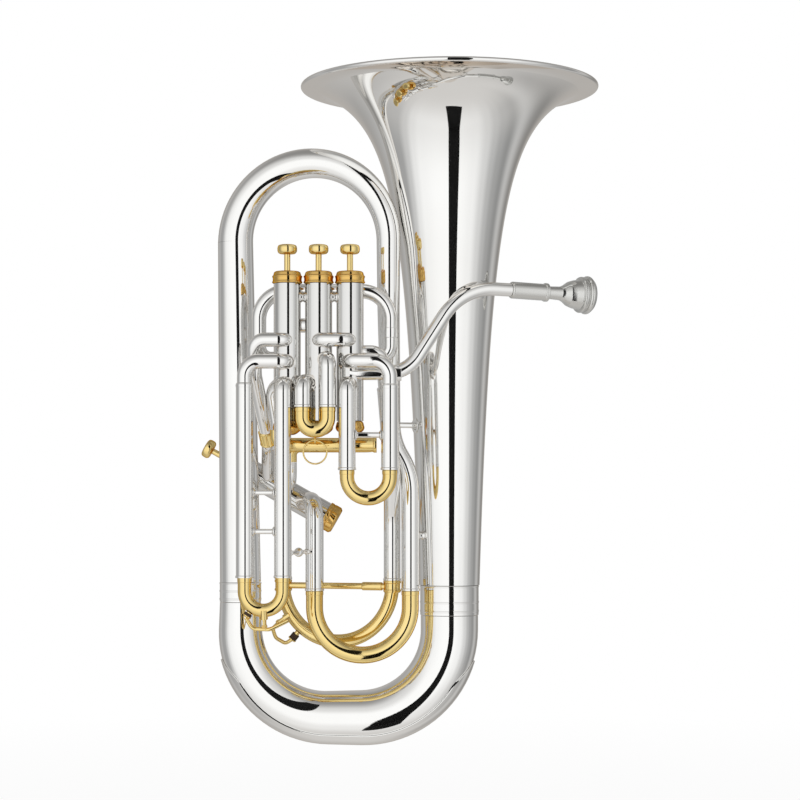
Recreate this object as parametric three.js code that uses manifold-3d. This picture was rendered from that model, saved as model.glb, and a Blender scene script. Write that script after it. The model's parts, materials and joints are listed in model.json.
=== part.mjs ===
import * as THREE from 'three';
import { mergeVertices } from 'three/addons/utils/BufferGeometryUtils.js';
import Module from 'manifold-3d';

const wasm = await Module();
wasm.setup();

// Compensating euphonium, in millimetres
// X runs from the big left tube to the bell and mouthpiece, Y runs away from the valve fronts, Z runs up
// The origin is the lowest point of the bottom bow, where the horn rests on the lap

// Clearances and fineness
const GAP = 0.3;
const RUNNING_CLEARANCE = 0.6;
const SLIDE_WALL = 0.7;
const SAME_PLACE = 0.01;
const TINY_VOLUME = 0.5;
const BURIED_SHARE = 0.05;
const BEND_STEP = Math.PI / 8;
const TUBE_SIDES = 10;
const SLIDE_SIDES = 12;
const ROD_SIDES = 8;
const BRANCH_SIDES = 20;
const BELL_SIDES = 32;
const CASING_SIDES = 20;
const TURNED_SIDES = 16;
const RING_SIDES = 6;

// Bell and large conical branch
const BELL_X = 105.5;
const BELL_HEIGHT = 666;
const BELL_RADIUS = 150;
const BELL_TAIL_RADIUS = 30.5;
const BELL_TAIL_Z = 161.9;
const BELL_WALL = 1;
const BELL_STEPS = 11;
const BELL_STEP_POWER = 2.1;
const RIM_BEAD_RADIUS = 2.4;
const FERRULE_BAND = 1.1;
const BELL_FERRULE = { bottom: 131.6, radius: 29.6, rings: [4, 13, 29] };
const BRANCH_FERRULE = { bottom: 144.8, top: 164.6, radius: 20.9, rings: [3, 11, 19] };
const BOW_BEND = 88.5;
const BOW_START_RADIUS = 29;
const BOW_END_RADIUS = 20.7;
const BOW_CENTRE_Z = 28.4;
const BOW_TAPER_POWER = 1.7;
const BRANCH_FOOT_X = -105.5;
const BRANCH_TOP = { x: -110.5, z: 507, radius: 17.7 };
const TOP_BOW_END = { x: 44.1, y: -27, radius: 11.9 };
const GUARD_THICKNESS = 1.1;
const GUARD_BAND = 10;
const GUARD_TOP_Z = 90;

// Inner branch and main tuning slide
const MAIN_Y = -24;
const MAIN_LEFT_X = -29.8;
const MAIN_RIGHT_X = 65.9;
const MAIN_LEG_RADIUS = 9;
const MAIN_LEG_END_Z = 156.8;
const MAIN_CROOK = { radius: 8.5, lowZ: 92.6, leftReach: 60, rightReach: 78 };
const INNER_BRANCH = { startZ: 500, kneeZ: 440, kneeY: -20, bendX: 46.6, highZ: 306, lowZ: 274, bend: 64 };
const BRANCH_TAPER_END_SHARE = 0.7;
const MAIN_ELBOW = { z: 247, bend: 20, portX: -45 };

// Upright valves
const VALVE_SPACING = 30.8;
const FIRST_VALVE_X = 6.5;
const VALVE_Y = -62;
const VALVE_FOOT_Z = 325.1;
const CASING = { radius: 13.3, bore: 11.6, length: 134.5 };
const TOP_CAP = { radius: 14.9, bandTop: 7.8, neckRadius: 13.7, edge: 1.3, top: 12.2, hole: 3.4 };
const BOTTOM_CAP = { radius: 14.4, height: 13.8, edge: 1.9 };
const PISTON = { radius: 11.1, wall: 1.5, foot: 18, shoulder: 16, neck: 12, stemRadius: 3 };
const BUTTON = { radius: 9.65, foot: 29.5, top: 38.6, edge: 2.6 };

// Side valve
const SIDE_VALVE_LENGTH = 103;
const SIDE_VALVE_FOOT = { x: -21.5, y: 38.5, z: 232.5 };
const SIDE_VALVE_TILT = 29.5;

// Valve slides
const SLIDE_Y = -84.5;
const SLIDE_LEG_RADIUS = 8.3;
const SLIDE_LIP = 0.6;
const SLIDE_LIP_HEIGHT = 2;
const KNUCKLE_BEND = 8.6;
const KNUCKLE_RADIUS = 7.3;
const KNUCKLE_DROP = { leg_share: 1.5, end_share: 2 };
const FIRST_SLIDE = { leftX: 4.1, rightX: 45.6, endZ: 276.6, lowZ: 249.2, crookRadius: 7, reach: 72 };
const FIRST_PORTS = { leftZ: 360, rightZ: 383, bend: 16, rodZ: 310.7, rodRadius: 2.8 };
const SECOND_SLIDE = { leftX: -39.1, rightX: -14.8, endZ: 337.7, lowZ: 315.5, crookRadius: 7.6, reach: 14 };
const SECOND_PORTS = { leftZ: 362, rightZ: 384.5 };
const THIRD_SLIDE = { leftX: -95.5, rightX: -58.4, endZ: 171.7, lowZ: 140.2, crookRadius: 6.6, reach: 120 };
const THIRD_PORTS = { leftZ: 382.5, rightZ: 360, bend: 15, rodZs: [254.8, 216.9], rodRadius: 2.5 };
const PULL_RING = { radius: 11.4, wire: 0.8, eyeRadius: 2.5, eyeWire: 0.8 };

// Fourth valve slide
const FOURTH_SLIDE = { leftX: -63.7, leftY: 28, rightX: 47.7, rightY: -6, endZ: 166.4 };
const FOURTH_LEG_RADIUS = 8.4;
const FOURTH_CROOK = { radius: 7, lowZ: 104.1, leftReach: 46, rightReach: 50 };
const FOURTH_COLLAR = { radius: 8.9, height: 11.8 };
const FOURTH_ROD = { radius: 3.2, sleeve: 4.2, sleeveFrom: 17.6, sleeveTo: 37.7, z: 160.4 };
const FOURTH_INLET_TOP = { x: -66, cornerZ: 232, bend: 12 };

// Fixed tubes of the valve group
const ARCH = { radius: 7.2, y: -41, leftX: -84.2, rightX: 45.7, topZ: 454.4, bend: 28 };
const ARCH_FEET = { leftZ: 387.3, rightZ: 388, bend: 12 };
const KNUCKLE_STEP = 4.7;
const FOURTH_KNUCKLE = { x: 38.4, y: -57, z: ARCH_FEET.rightZ + KNUCKLE_STEP, bend: 13, radius: 7.1 };
const FOURTH_WAIST = { y: -40, z: 281, bend: 40, legShare: 0.32 };
const FOURTH_FOOT = { z: 229, bend: 30 };
const CROSSOVER = { radius: 7.1, bend: 9, frontY: -77, frontZ: 403.9, rearY: -46.5, rearZ: 420 };
const RETURN_CROOK = { radius: 7, z: 302, elbowBend: 9, turnX: 25.5, rearY: -23, downX: -54.5 };
const COMP_BEND = { radius: 6.9, x: -71.5, y: -50, topZ: 361, bend: 13 };
const COMP_END_STEP = 15;
const COMP_END = { x: -66, y: -42.5, z: RETURN_CROOK.z + COMP_END_STEP, bend: 12 };
const RETURN_INLET = { topZ: 285, cornerZ: 267, bend: 14, portX: -62 };

// Inlet of the fourth valve: places chosen by hand round the neighbouring tubes
const FOURTH_INLET = {
  radius: 7,
  start: [-50, -75, 403.9],
  corners: [[-86.7, -75, 403.9, 11], [-87, -62, 370, 20], [-76, -15, 303, 25]],
  portX: -80,
};

// Mouthpipe and mouthpiece
const LEADPIPE = {
  startRadius: 6.6,
  endRadius: 7,
  start: [164.9, -38.4, 456],
  corners: [[116.5, -59, 456.8, 62], [62.6, -68.5, 371.8, 36]],
  end: [10, -68.5, 371.8],
};
const RECEIVER = { radius: 8.4, length: 40.6, bore: 6.7, depth: 34, ring: 9.3, droop: 1.5, turn: 23 };
const SHANK = { inset: 32.6, showing: 15.4, radius: 6.2, backbore: 4.4, waist: 6.9 };
const CUP = { length: 19.6, throat: 2.3, bowl: 12.6, edge: 2.2, neck_share: 0.25, floor_share: 0.86 };
// Outside of the cup: each place as a share of its length, then of the radius of the rim
const CUP_OUTLINE_SHARES = [[0.17, 0.46], [0.42, 0.63], [0.66, 0.725], [1, 0.77]];
const RIM = { thickness: 13.6, radius: 19.2, rounding: 3.2 };

// Braces
const BRACE_ROD = 2.8;
const FLANGE_THICKNESS = 1.6;
const BELL_BRACE_Z = 322.5;
const BELL_BRACE_FLANGE = 8;
const LOWER_BRACE = { z: 212, radius: 4.6 };
const LEAD_BRACE = { x: 146, y: -47, z: 456, flange: 9 };
const CASING_BRACE = { z: 446.5, radius: 5.5 };
const BALL_BRACE = { z: 196, ball: 4.4, flange: 8, rod: 2 };

// Water keys
// Each key lies in the plane of its crook, with places as run along the crook and height from the bend centre
const WATER_KEY = { lever: 1.5, pad: 4.4, padHeight: 3.6, nipple: 2.6 };
const KEY_HINGE = { barrel: 2.4, post: 2, pin: 0.9, halfWidth: 3.2 };
const THIRD_KEY = {
  hinge: [1, -34.2],
  nipple: [-0.56, -0.83],
  nippleRise: 1.4,
  lever: [[-17.2, -25.4], [-11, -36.4, 8], [6, -37.2, 12], [23.8, -28.4]],
};
const FOURTH_KEY = {
  hinge: [-62.5, -39.5],
  nipple: [-0.65, -0.76],
  nippleRise: 7,
  lever: [[-62.5, -39.5], [-70, -46.5, 5], [-66.5, -56, 7], [-56, -61.5, 5], [-48.8, -57.1]],
};

// Finishes
const SILVER = { color: 0xd9dadb, roughness: 0.08, metalness: 1 };
const GOLD = { color: 0xe0b95a, roughness: 0.1, metalness: 1 };

const horn = new THREE.Group();

function place(x, y, z) {
  return new THREE.Vector3(x, y, z);
}

function corner(x, y, z, bend) {
  return { at: place(x, y, z), bend };
}

function addPart(name, finish, geometry) {
  const mesh = new THREE.Mesh(geometry, new THREE.MeshStandardMaterial(finish));
  mesh.name = name;
  horn.add(mesh);
}

// Closed bodies
function signedVolume(positions, triangles) {
  const corners = [place(0, 0, 0), place(0, 0, 0), place(0, 0, 0)];
  let volume = 0;
  for (let i = 0; i < triangles.length; i += 3) {
    corners.forEach((spot, k) => spot.fromBufferAttribute(positions, triangles[i + k]));
    volume += corners[0].dot(corners[1].cross(corners[2])) / 6;
  }
  return volume;
}

function closedBody(source) {
  const bare = source.index ? source.toNonIndexed() : source;
  bare.deleteAttribute('normal');
  bare.deleteAttribute('uv');
  const merged = mergeVertices(bare, 1e-4);
  const triangles = [];
  for (let i = 0; i < merged.index.count; i += 3) {
    const [a, b, c] = [0, 1, 2].map((k) => merged.index.getX(i + k));
    if (a !== b && b !== c && c !== a) {
      triangles.push(a, b, c);
    }
  }
  if (signedVolume(merged.attributes.position, triangles) < 0) {
    triangles.reverse();
  }
  merged.setIndex(triangles);
  merged.computeVertexNormals();
  return merged;
}

function solidOf(geometry) {
  const vertProperties = new Float32Array(geometry.attributes.position.array);
  const triVerts = new Uint32Array(geometry.index.array);
  return new wasm.Manifold(new wasm.Mesh({ numProp: 3, vertProperties, triVerts }));
}

function geometryOf(solid) {
  const mesh = solid.getMesh();
  const geometry = new THREE.BufferGeometry();
  geometry.setAttribute('position', new THREE.BufferAttribute(new Float32Array(mesh.vertProperties), 3));
  geometry.setIndex(new THREE.BufferAttribute(new Uint32Array(mesh.triVerts), 1));
  return closedBody(geometry);
}

function joined(...pieces) {
  const solids = pieces.map(solidOf);
  return geometryOf(solids.reduce((whole, next) => whole.add(next)));
}

function trimmed(piece, ...cutters) {
  const rest = cutters.map(solidOf).reduce((left, next) => left.subtract(next), solidOf(piece));
  const chunks = rest.decompose().filter((chunk) => Math.abs(chunk.volume()) > TINY_VOLUME);
  chunks.sort((one, other) => other.volume() - one.volume());
  return geometryOf(chunks[0]);
}

// Tubes along routes of straight runs and round bends
function bendStations(before, here, after) {
  const inward = here.at.clone().sub(before.at).normalize();
  const outward = after.at.clone().sub(here.at).normalize();
  const turn = inward.angleTo(outward);
  const axis = inward.clone().cross(outward).normalize();
  const toCentre = axis.clone().cross(inward);
  const start = here.at.clone().addScaledVector(inward, -here.bend * Math.tan(turn / 2));
  const centre = start.clone().addScaledVector(toCentre, here.bend);
  const steps = Math.max(1, Math.ceil(turn / BEND_STEP));
  return Array.from({ length: steps + 1 }, (unused, i) => {
    const angle = (turn * i) / steps;
    const arm = toCentre.clone().multiplyScalar(-here.bend).applyAxisAngle(axis, angle);
    return { at: centre.clone().add(arm), along: inward.clone().applyAxisAngle(axis, angle) };
  });
}

function stationsOf(corners) {
  const last = corners.length - 1;
  const firstRun = corners[1].at.clone().sub(corners[0].at).normalize();
  const lastRun = corners[last].at.clone().sub(corners[last - 1].at).normalize();
  const bends = corners.slice(1, -1).flatMap((here, i) => bendStations(corners[i], here, corners[i + 2]));
  const all = [{ at: corners[0].at, along: firstRun }, ...bends, { at: corners[last].at, along: lastRun }];
  return all.filter((station, i) => i === 0 || station.at.distanceTo(all[i - 1].at) > SAME_PLACE);
}

function withShares(stations) {
  let travelled = 0;
  const reached = stations.map((station, i) => {
    travelled += i ? station.at.distanceTo(stations[i - 1].at) : 0;
    return travelled;
  });
  return stations.map((station, i) => ({ ...station, share: reached[i] / travelled }));
}

function withFrames(stations) {
  const first = stations[0].along;
  const helper = Math.abs(first.y) > Math.SQRT1_2 ? place(1, 0, 0) : place(0, 1, 0);
  const up = helper.clone().addScaledVector(first, -helper.dot(first)).normalize();
  const turn = new THREE.Quaternion();
  return stations.map((station, i) => {
    if (i) {
      up.applyQuaternion(turn.setFromUnitVectors(stations[i - 1].along, station.along));
    }
    return { ...station, up: up.clone(), side: station.along.clone().cross(up) };
  });
}

function ringAt(station, radius, sides) {
  return Array.from({ length: sides }, (unused, i) => {
    const angle = (2 * Math.PI * i) / sides;
    const spot = station.at.clone().addScaledVector(station.up, radius * Math.cos(angle));
    return spot.addScaledVector(station.side, radius * Math.sin(angle));
  });
}

function capOf(first, sides) {
  return Array.from({ length: sides - 2 }, (unused, i) => [first, first + i + 1, first + i + 2]).flat();
}

function skin(rings) {
  const sides = rings[0].length;
  const triangles = [];
  for (let r = 0; r < rings.length - 1; r += 1) {
    for (let s = 0; s < sides; s += 1) {
      const next = (s + 1) % sides;
      const low = r * sides;
      const high = low + sides;
      triangles.push(low + s, low + next, high + next, low + s, high + next, high + s);
    }
  }
  triangles.push(...capOf(0, sides).reverse(), ...capOf((rings.length - 1) * sides, sides));
  const geometry = new THREE.BufferGeometry().setFromPoints(rings.flat());
  geometry.setIndex(triangles);
  return closedBody(geometry);
}

function tube(corners, radiusAt, sides = TUBE_SIDES, bore = null) {
  const radius = typeof radiusAt === 'number' ? () => radiusAt : radiusAt;
  const stations = withFrames(withShares(stationsOf(corners)));
  const rings = stations.map((station) => ringAt(station, radius(station.share), sides));
  if (bore) {
    const end = stations[stations.length - 1];
    const deep = { ...end, at: end.at.clone().addScaledVector(end.along, -bore.depth) };
    rings.push(ringAt(end, bore.radius, sides), ringAt(deep, bore.radius, sides));
  }
  return skin(rings);
}

function rod(from, to, radius, sides = ROD_SIDES) {
  return tube([{ at: from }, { at: to }], radius, sides);
}

function taper(from, to) {
  return (share) => from + (to - from) * share;
}

// Turned pieces, whose outline is a list of radius and height
function turned(profile, sides = TURNED_SIDES) {
  const outline = profile.map(([radius, height]) => new THREE.Vector2(radius, height));
  return closedBody(new THREE.LatheGeometry(outline, sides).rotateX(Math.PI / 2));
}

function turnedPipe(profile, sides) {
  return turned([...profile, profile[0]], sides);
}

function setAlong(geometry, origin, direction) {
  const turn = new THREE.Quaternion().setFromUnitVectors(place(0, 0, 1), direction.clone().normalize());
  return geometry.clone().applyQuaternion(turn).translate(origin.x, origin.y, origin.z);
}

// Bell, which flares as one over the square root of the distance to a point just above its rim
function flareLength() {
  const narrowing = (BELL_TAIL_RADIUS / BELL_RADIUS) ** 2;
  return ((BELL_HEIGHT - BELL_TAIL_Z) * narrowing) / (1 - narrowing);
}

function bellRadiusAt(z) {
  return BELL_RADIUS * Math.sqrt(flareLength() / (BELL_HEIGHT - z + flareLength()));
}

function bellHeights(top) {
  const shareOf = (i) => 1 - (1 - i / BELL_STEPS) ** BELL_STEP_POWER;
  return Array.from({ length: BELL_STEPS + 1 }, (unused, i) => BELL_TAIL_Z + (top - BELL_TAIL_Z) * shareOf(i));
}

function bellInnerPoint([radius, z]) {
  const slope = radius / (2 * (BELL_HEIGHT - z + flareLength()));
  const run = Math.hypot(1, slope);
  return [radius - BELL_WALL / run, z === BELL_TAIL_Z ? z : z + (BELL_WALL * slope) / run];
}

function rimBead() {
  const flat = RIM_BEAD_RADIUS * Math.tan(Math.PI / 8);
  const middle = { radius: BELL_RADIUS - RIM_BEAD_RADIUS, z: BELL_HEIGHT - RIM_BEAD_RADIUS };
  return [
    [middle.radius - flat, middle.z - RIM_BEAD_RADIUS],
    [middle.radius + flat, middle.z - RIM_BEAD_RADIUS],
    [BELL_RADIUS, middle.z - flat],
    [BELL_RADIUS, middle.z + flat],
    [middle.radius + flat, BELL_HEIGHT],
    [middle.radius - flat, BELL_HEIGHT],
  ];
}

function bell() {
  const lipZ = BELL_HEIGHT - 3 * RIM_BEAD_RADIUS;
  const outer = bellHeights(lipZ).map((z) => [bellRadiusAt(z), z]);
  const profile = [...outer, ...rimBead(), ...outer.map(bellInnerPoint).reverse()];
  return turnedPipe(profile, BELL_SIDES).translate(BELL_X, 0, 0);
}

function bellKeepOut() {
  const outer = bellHeights(BELL_HEIGHT).map((z) => [bellRadiusAt(z) + GAP, z]);
  const profile = [[0, BELL_TAIL_Z], ...outer, [0, BELL_HEIGHT]];
  return turned(profile, BELL_SIDES).translate(BELL_X, 0, 0);
}

// Ferrules, each a sleeve with raised rings
function ferrule(bottom, top, radius, ringHeights) {
  const profile = [[0, bottom], [radius, bottom]];
  ringHeights.forEach((height) => {
    const middle = bottom + height;
    const half = FERRULE_BAND;
    profile.push([radius, middle - half], [radius + half, middle], [radius, Math.min(middle + half, top)]);
  });
  profile.push([0, top]);
  return turned(profile, CASING_SIDES);
}

// Bottom bow, large branch and top bow
function bowCorners() {
  return [
    corner(BELL_X, 0, BELL_FERRULE.bottom - GAP),
    corner(BELL_X, 0, BOW_CENTRE_Z, BOW_BEND),
    corner(BRANCH_FOOT_X, 0, BOW_CENTRE_Z, BOW_BEND),
    corner(BRANCH_FOOT_X, 0, BRANCH_FERRULE.bottom - GAP),
  ];
}

function bowRadiusAt(share) {
  return BOW_START_RADIUS + (BOW_END_RADIUS - BOW_START_RADIUS) * share ** BOW_TAPER_POWER;
}

function bottomBow(extra = 0) {
  return tube(bowCorners(), (share) => bowRadiusAt(share) + extra, BRANCH_SIDES);
}

function guardWindow() {
  const stations = withShares(stationsOf(bowCorners()));
  const edge = stations.map(({ at, along, share }) => {
    const out = bowRadiusAt(share) - GUARD_BAND;
    return new THREE.Vector2(at.x - along.z * out, at.z + along.x * out);
  });
  const depth = 4 * BOW_START_RADIUS;
  const block = new THREE.ExtrudeGeometry(new THREE.Shape(edge), { depth, bevelEnabled: false });
  return closedBody(block.translate(0, 0, -depth / 2).rotateX(Math.PI / 2));
}

function bowGuard() {
  const wide = 4 * BELL_X;
  const above = new THREE.BoxGeometry(wide, wide, BELL_X).translate(0, 0, GUARD_TOP_Z + BELL_X / 2);
  const shell = bottomBow(GAP + GUARD_THICKNESS);
  return trimmed(shell, bottomBow(GAP), guardWindow(), closedBody(above));
}

function outerBranch() {
  const foot = corner(BRANCH_FOOT_X, 0, BRANCH_FERRULE.top + GAP);
  const head = corner(BRANCH_TOP.x, 0, BRANCH_TOP.z - GAP);
  return tube([foot, head], taper(BOW_END_RADIUS, BRANCH_TOP.radius), BRANCH_SIDES);
}

function topBow() {
  const run = place(TOP_BOW_END.x - BRANCH_TOP.x, TOP_BOW_END.y, 0);
  const bend = run.length() / 2;
  const topZ = BRANCH_TOP.z + bend;
  const corners = [
    corner(BRANCH_TOP.x, 0, BRANCH_TOP.z),
    corner(BRANCH_TOP.x, 0, topZ, bend),
    corner(TOP_BOW_END.x, TOP_BOW_END.y, topZ, bend),
    corner(TOP_BOW_END.x, TOP_BOW_END.y, BRANCH_TOP.z),
  ];
  return tube(corners, taper(BRANCH_TOP.radius, TOP_BOW_END.radius), BRANCH_SIDES);
}

// Inner branch with the right leg of the main tuning slide
function innerBranchCorners() {
  const { startZ, kneeZ, kneeY, bendX, highZ, lowZ, bend } = INNER_BRANCH;
  return [
    corner(TOP_BOW_END.x, TOP_BOW_END.y, BRANCH_TOP.z - GAP),
    corner(TOP_BOW_END.x, TOP_BOW_END.y, startZ, bend),
    corner(TOP_BOW_END.x, kneeY, kneeZ, bend),
    corner(bendX, kneeY, highZ, bend),
    corner(MAIN_RIGHT_X, MAIN_Y, lowZ, bend),
    corner(MAIN_RIGHT_X, MAIN_Y, MAIN_LEG_END_Z),
  ];
}

function innerBranchRadiusAt(share) {
  const narrowed = taper(TOP_BOW_END.radius, MAIN_LEG_RADIUS)(share / BRANCH_TAPER_END_SHARE);
  return Math.max(MAIN_LEG_RADIUS, narrowed);
}

function innerBranch() {
  const bore = { radius: MAIN_LEG_RADIUS - SLIDE_WALL, depth: MAIN_CROOK.rightReach + GAP };
  const pipe = tube(innerBranchCorners(), innerBranchRadiusAt, SLIDE_SIDES, bore);
  return joined(pipe, lipOn(MAIN_RIGHT_X, MAIN_Y, MAIN_LEG_END_Z, MAIN_LEG_RADIUS));
}

// Slide legs
function lipOn(x, y, endZ, legRadius) {
  const bore = legRadius - SLIDE_WALL;
  const top = SLIDE_LIP_HEIGHT;
  const profile = [[bore, 0], [legRadius + SLIDE_LIP, 0], [legRadius + SLIDE_LIP, top], [bore, top]];
  return turnedPipe(profile, SLIDE_SIDES).translate(x, y, endZ);
}

function boredLeg(corners, endX, endY, endZ, legRadius, reach) {
  const bore = { radius: legRadius - SLIDE_WALL, depth: reach + GAP };
  const pipe = tube([...corners, corner(endX, endY, endZ)], legRadius, SLIDE_SIDES, bore);
  return joined(pipe, lipOn(endX, endY, endZ, legRadius));
}

function valveX(number) {
  return FIRST_VALVE_X - (number - 1) * VALVE_SPACING;
}

function casingKeepOut(number) {
  const radius = CASING.radius + GAP;
  const foot = -BOTTOM_CAP.height;
  const top = CASING.length + TOP_CAP.top;
  return atValve(number, turned([[0, foot], [radius, foot], [radius, top], [0, top]], CASING_SIDES));
}

// A leg whose top elbows straight back into the front of a valve casing
function elbowLeg(number, x, portShift, portZ, slide) {
  const port = corner(valveX(number) + portShift, VALVE_Y, portZ);
  const elbow = corner(x, SLIDE_Y, portZ, KNUCKLE_BEND);
  return boredLeg([port, elbow], x, SLIDE_Y, slide.endZ, SLIDE_LEG_RADIUS, slide.reach);
}

// A leg reached by a knuckle that leaves the casing front and runs sideways
function knuckleLeg(number, x, ports, portZ, slide) {
  const portX = valveX(number);
  const corners = [
    corner(portX, VALVE_Y, portZ),
    corner(portX, SLIDE_Y, portZ, KNUCKLE_BEND),
    corner(x, SLIDE_Y, portZ, ports.bend),
    corner(x, SLIDE_Y, portZ - KNUCKLE_DROP.end_share * ports.bend),
  ];
  const knuckle = tube(corners, KNUCKLE_RADIUS, TUBE_SIDES);
  const legTop = corner(x, SLIDE_Y, portZ - KNUCKLE_DROP.leg_share * ports.bend);
  return joined(knuckle, boredLeg([legTop], x, SLIDE_Y, slide.endZ, SLIDE_LEG_RADIUS, slide.reach));
}

function clearRod(slide, z, radius) {
  const inset = SLIDE_LEG_RADIUS - SLIDE_WALL / 2;
  return rod(place(slide.leftX + inset, SLIDE_Y, z), place(slide.rightX - inset, SLIDE_Y, z), radius);
}

function firstSlideLegs() {
  const left = elbowLeg(1, FIRST_SLIDE.leftX, 0, FIRST_PORTS.leftZ, FIRST_SLIDE);
  const right = knuckleLeg(1, FIRST_SLIDE.rightX, FIRST_PORTS, FIRST_PORTS.rightZ, FIRST_SLIDE);
  const whole = joined(left, right, clearRod(FIRST_SLIDE, FIRST_PORTS.rodZ, FIRST_PORTS.rodRadius));
  return trimmed(whole, casingKeepOut(1), casingKeepOut(2));
}

function thirdSlideLegs() {
  const right = elbowLeg(3, THIRD_SLIDE.rightX, 0, THIRD_PORTS.rightZ, THIRD_SLIDE);
  const left = knuckleLeg(3, THIRD_SLIDE.leftX, THIRD_PORTS, THIRD_PORTS.leftZ, THIRD_SLIDE);
  const rods = THIRD_PORTS.rodZs.map((z) => clearRod(THIRD_SLIDE, z, THIRD_PORTS.rodRadius));
  return trimmed(joined(left, right, ...rods), casingKeepOut(3), casingKeepOut(2));
}

function secondSlideLeg(x, portZ) {
  const lean = (x - valveX(2)) / 2;
  const leg = elbowLeg(2, x, lean, portZ, SECOND_SLIDE);
  return trimmed(leg, casingKeepOut(1), casingKeepOut(2), casingKeepOut(3));
}

// Slide crooks
function innerLeg(x, y, fromZ, toZ, legRadius) {
  return rod(place(x, y, fromZ), place(x, y, toZ), legRadius - SLIDE_WALL - RUNNING_CLEARANCE, SLIDE_SIDES);
}

function crookBend(slide, leftY, rightY, topZ, radius, bend) {
  const lowZ = slide.lowZ;
  const startZ = Math.max(topZ, lowZ + bend + GAP);
  const corners = [
    corner(slide.leftX, leftY, startZ),
    corner(slide.leftX, leftY, lowZ, bend),
    corner(slide.rightX, rightY, lowZ, bend),
    corner(slide.rightX, rightY, startZ),
  ];
  return tube(corners, radius, TUBE_SIDES);
}

function slideCrook(slide) {
  const topZ = slide.endZ - GAP;
  const half = (slide.rightX - slide.leftX) / 2;
  const bow = crookBend(slide, SLIDE_Y, SLIDE_Y, topZ, slide.crookRadius, half);
  const legs = [slide.leftX, slide.rightX].map((x) => {
    return innerLeg(x, SLIDE_Y, topZ - SLIDE_LIP_HEIGHT, topZ + slide.reach, SLIDE_LEG_RADIUS);
  });
  return joined(bow, ...legs);
}

function mainSlideCrook() {
  const topZ = MAIN_LEG_END_Z - GAP;
  const slide = { leftX: MAIN_LEFT_X, rightX: MAIN_RIGHT_X, lowZ: MAIN_CROOK.lowZ };
  const half = (MAIN_RIGHT_X - MAIN_LEFT_X) / 2;
  const bow = crookBend(slide, MAIN_Y, MAIN_Y, topZ, MAIN_CROOK.radius, half);
  const overlapZ = topZ - SLIDE_LIP_HEIGHT;
  const left = innerLeg(MAIN_LEFT_X, MAIN_Y, overlapZ, topZ + MAIN_CROOK.leftReach, MAIN_LEG_RADIUS);
  const right = innerLeg(MAIN_RIGHT_X, MAIN_Y, overlapZ, topZ + MAIN_CROOK.rightReach, MAIN_LEG_RADIUS);
  return joined(bow, left, right);
}

function collarAt(x, y, topZ) {
  const { radius, height } = FOURTH_COLLAR;
  return rod(place(x, y, topZ - height), place(x, y, topZ), radius, SLIDE_SIDES);
}

function fourthCrook() {
  const { leftX, leftY, rightX, rightY, endZ } = FOURTH_SLIDE;
  const topZ = endZ - GAP;
  const bend = Math.hypot(rightX - leftX, rightY - leftY) / 2;
  const slide = { leftX, rightX, lowZ: FOURTH_CROOK.lowZ };
  const bow = crookBend(slide, leftY, rightY, topZ, FOURTH_CROOK.radius, bend);
  const overlapZ = topZ - SLIDE_LIP_HEIGHT;
  const left = innerLeg(leftX, leftY, overlapZ, topZ + FOURTH_CROOK.leftReach, FOURTH_LEG_RADIUS);
  const right = innerLeg(rightX, rightY, overlapZ, topZ + FOURTH_CROOK.rightReach, FOURTH_LEG_RADIUS);
  const spotAt = (x) => place(x, leftY + ((rightY - leftY) * (x - leftX)) / (rightX - leftX), FOURTH_ROD.z);
  const stay = rod(spotAt(leftX), spotAt(rightX), FOURTH_ROD.radius);
  const sleeve = rod(spotAt(FOURTH_ROD.sleeveFrom), spotAt(FOURTH_ROD.sleeveTo), FOURTH_ROD.sleeve);
  const collars = [collarAt(leftX, leftY, topZ), collarAt(rightX, rightY, topZ)];
  return joined(bow, left, right, stay, sleeve, ...collars);
}

// Valves, built along Z from the casing foot
function sideValveAxis() {
  const tilt = THREE.MathUtils.degToRad(SIDE_VALVE_TILT);
  return place(-Math.cos(tilt), 0, Math.sin(tilt));
}

function atValve(number, geometry) {
  if (number === 4) {
    const foot = SIDE_VALVE_FOOT;
    return setAlong(geometry, place(foot.x, foot.y, foot.z), sideValveAxis());
  }
  return geometry.clone().translate(valveX(number), VALVE_Y, VALVE_FOOT_Z);
}

function casing(length) {
  const { radius, bore } = CASING;
  return turnedPipe([[bore, 0], [radius, 0], [radius, length], [bore, length]], CASING_SIDES);
}

function topCap(length) {
  const { radius, bandTop, neckRadius, edge, top, hole } = TOP_CAP;
  const profile = [
    [hole, length + GAP],
    [radius, length + GAP],
    [radius, length + bandTop - edge / 2],
    [neckRadius, length + bandTop],
    [neckRadius, length + top - edge],
    [neckRadius - edge, length + top],
    [hole, length + top],
  ];
  return turnedPipe(profile, TURNED_SIDES);
}

function bottomCap() {
  const { radius, height, edge } = BOTTOM_CAP;
  return turned([[0, -height], [radius - edge, -height], [radius, edge - height], [radius, -GAP], [0, -GAP]]);
}

function piston(length) {
  const { radius, wall, foot, shoulder, neck, stemRadius } = PISTON;
  const stemTop = length + BUTTON.foot - GAP;
  const profile = [
    [0, length - shoulder - 2 * wall],
    [radius - wall, length - shoulder - 2 * wall],
    [radius - wall, foot],
    [radius, foot],
    [radius, length - shoulder],
    [stemRadius, length - neck],
    [stemRadius, stemTop],
    [0, stemTop],
  ];
  return turned(profile, SLIDE_SIDES);
}

function button(length) {
  const { radius, foot, top, edge } = BUTTON;
  const low = length + foot;
  const high = length + top;
  const half = edge / 2;
  const profile = [[0, low], [radius - half, low], [radius, low + edge], [radius, high - edge]];
  return turned([...profile, [radius - half, high - half / 2], [radius - edge, high], [0, high]]);
}

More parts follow.
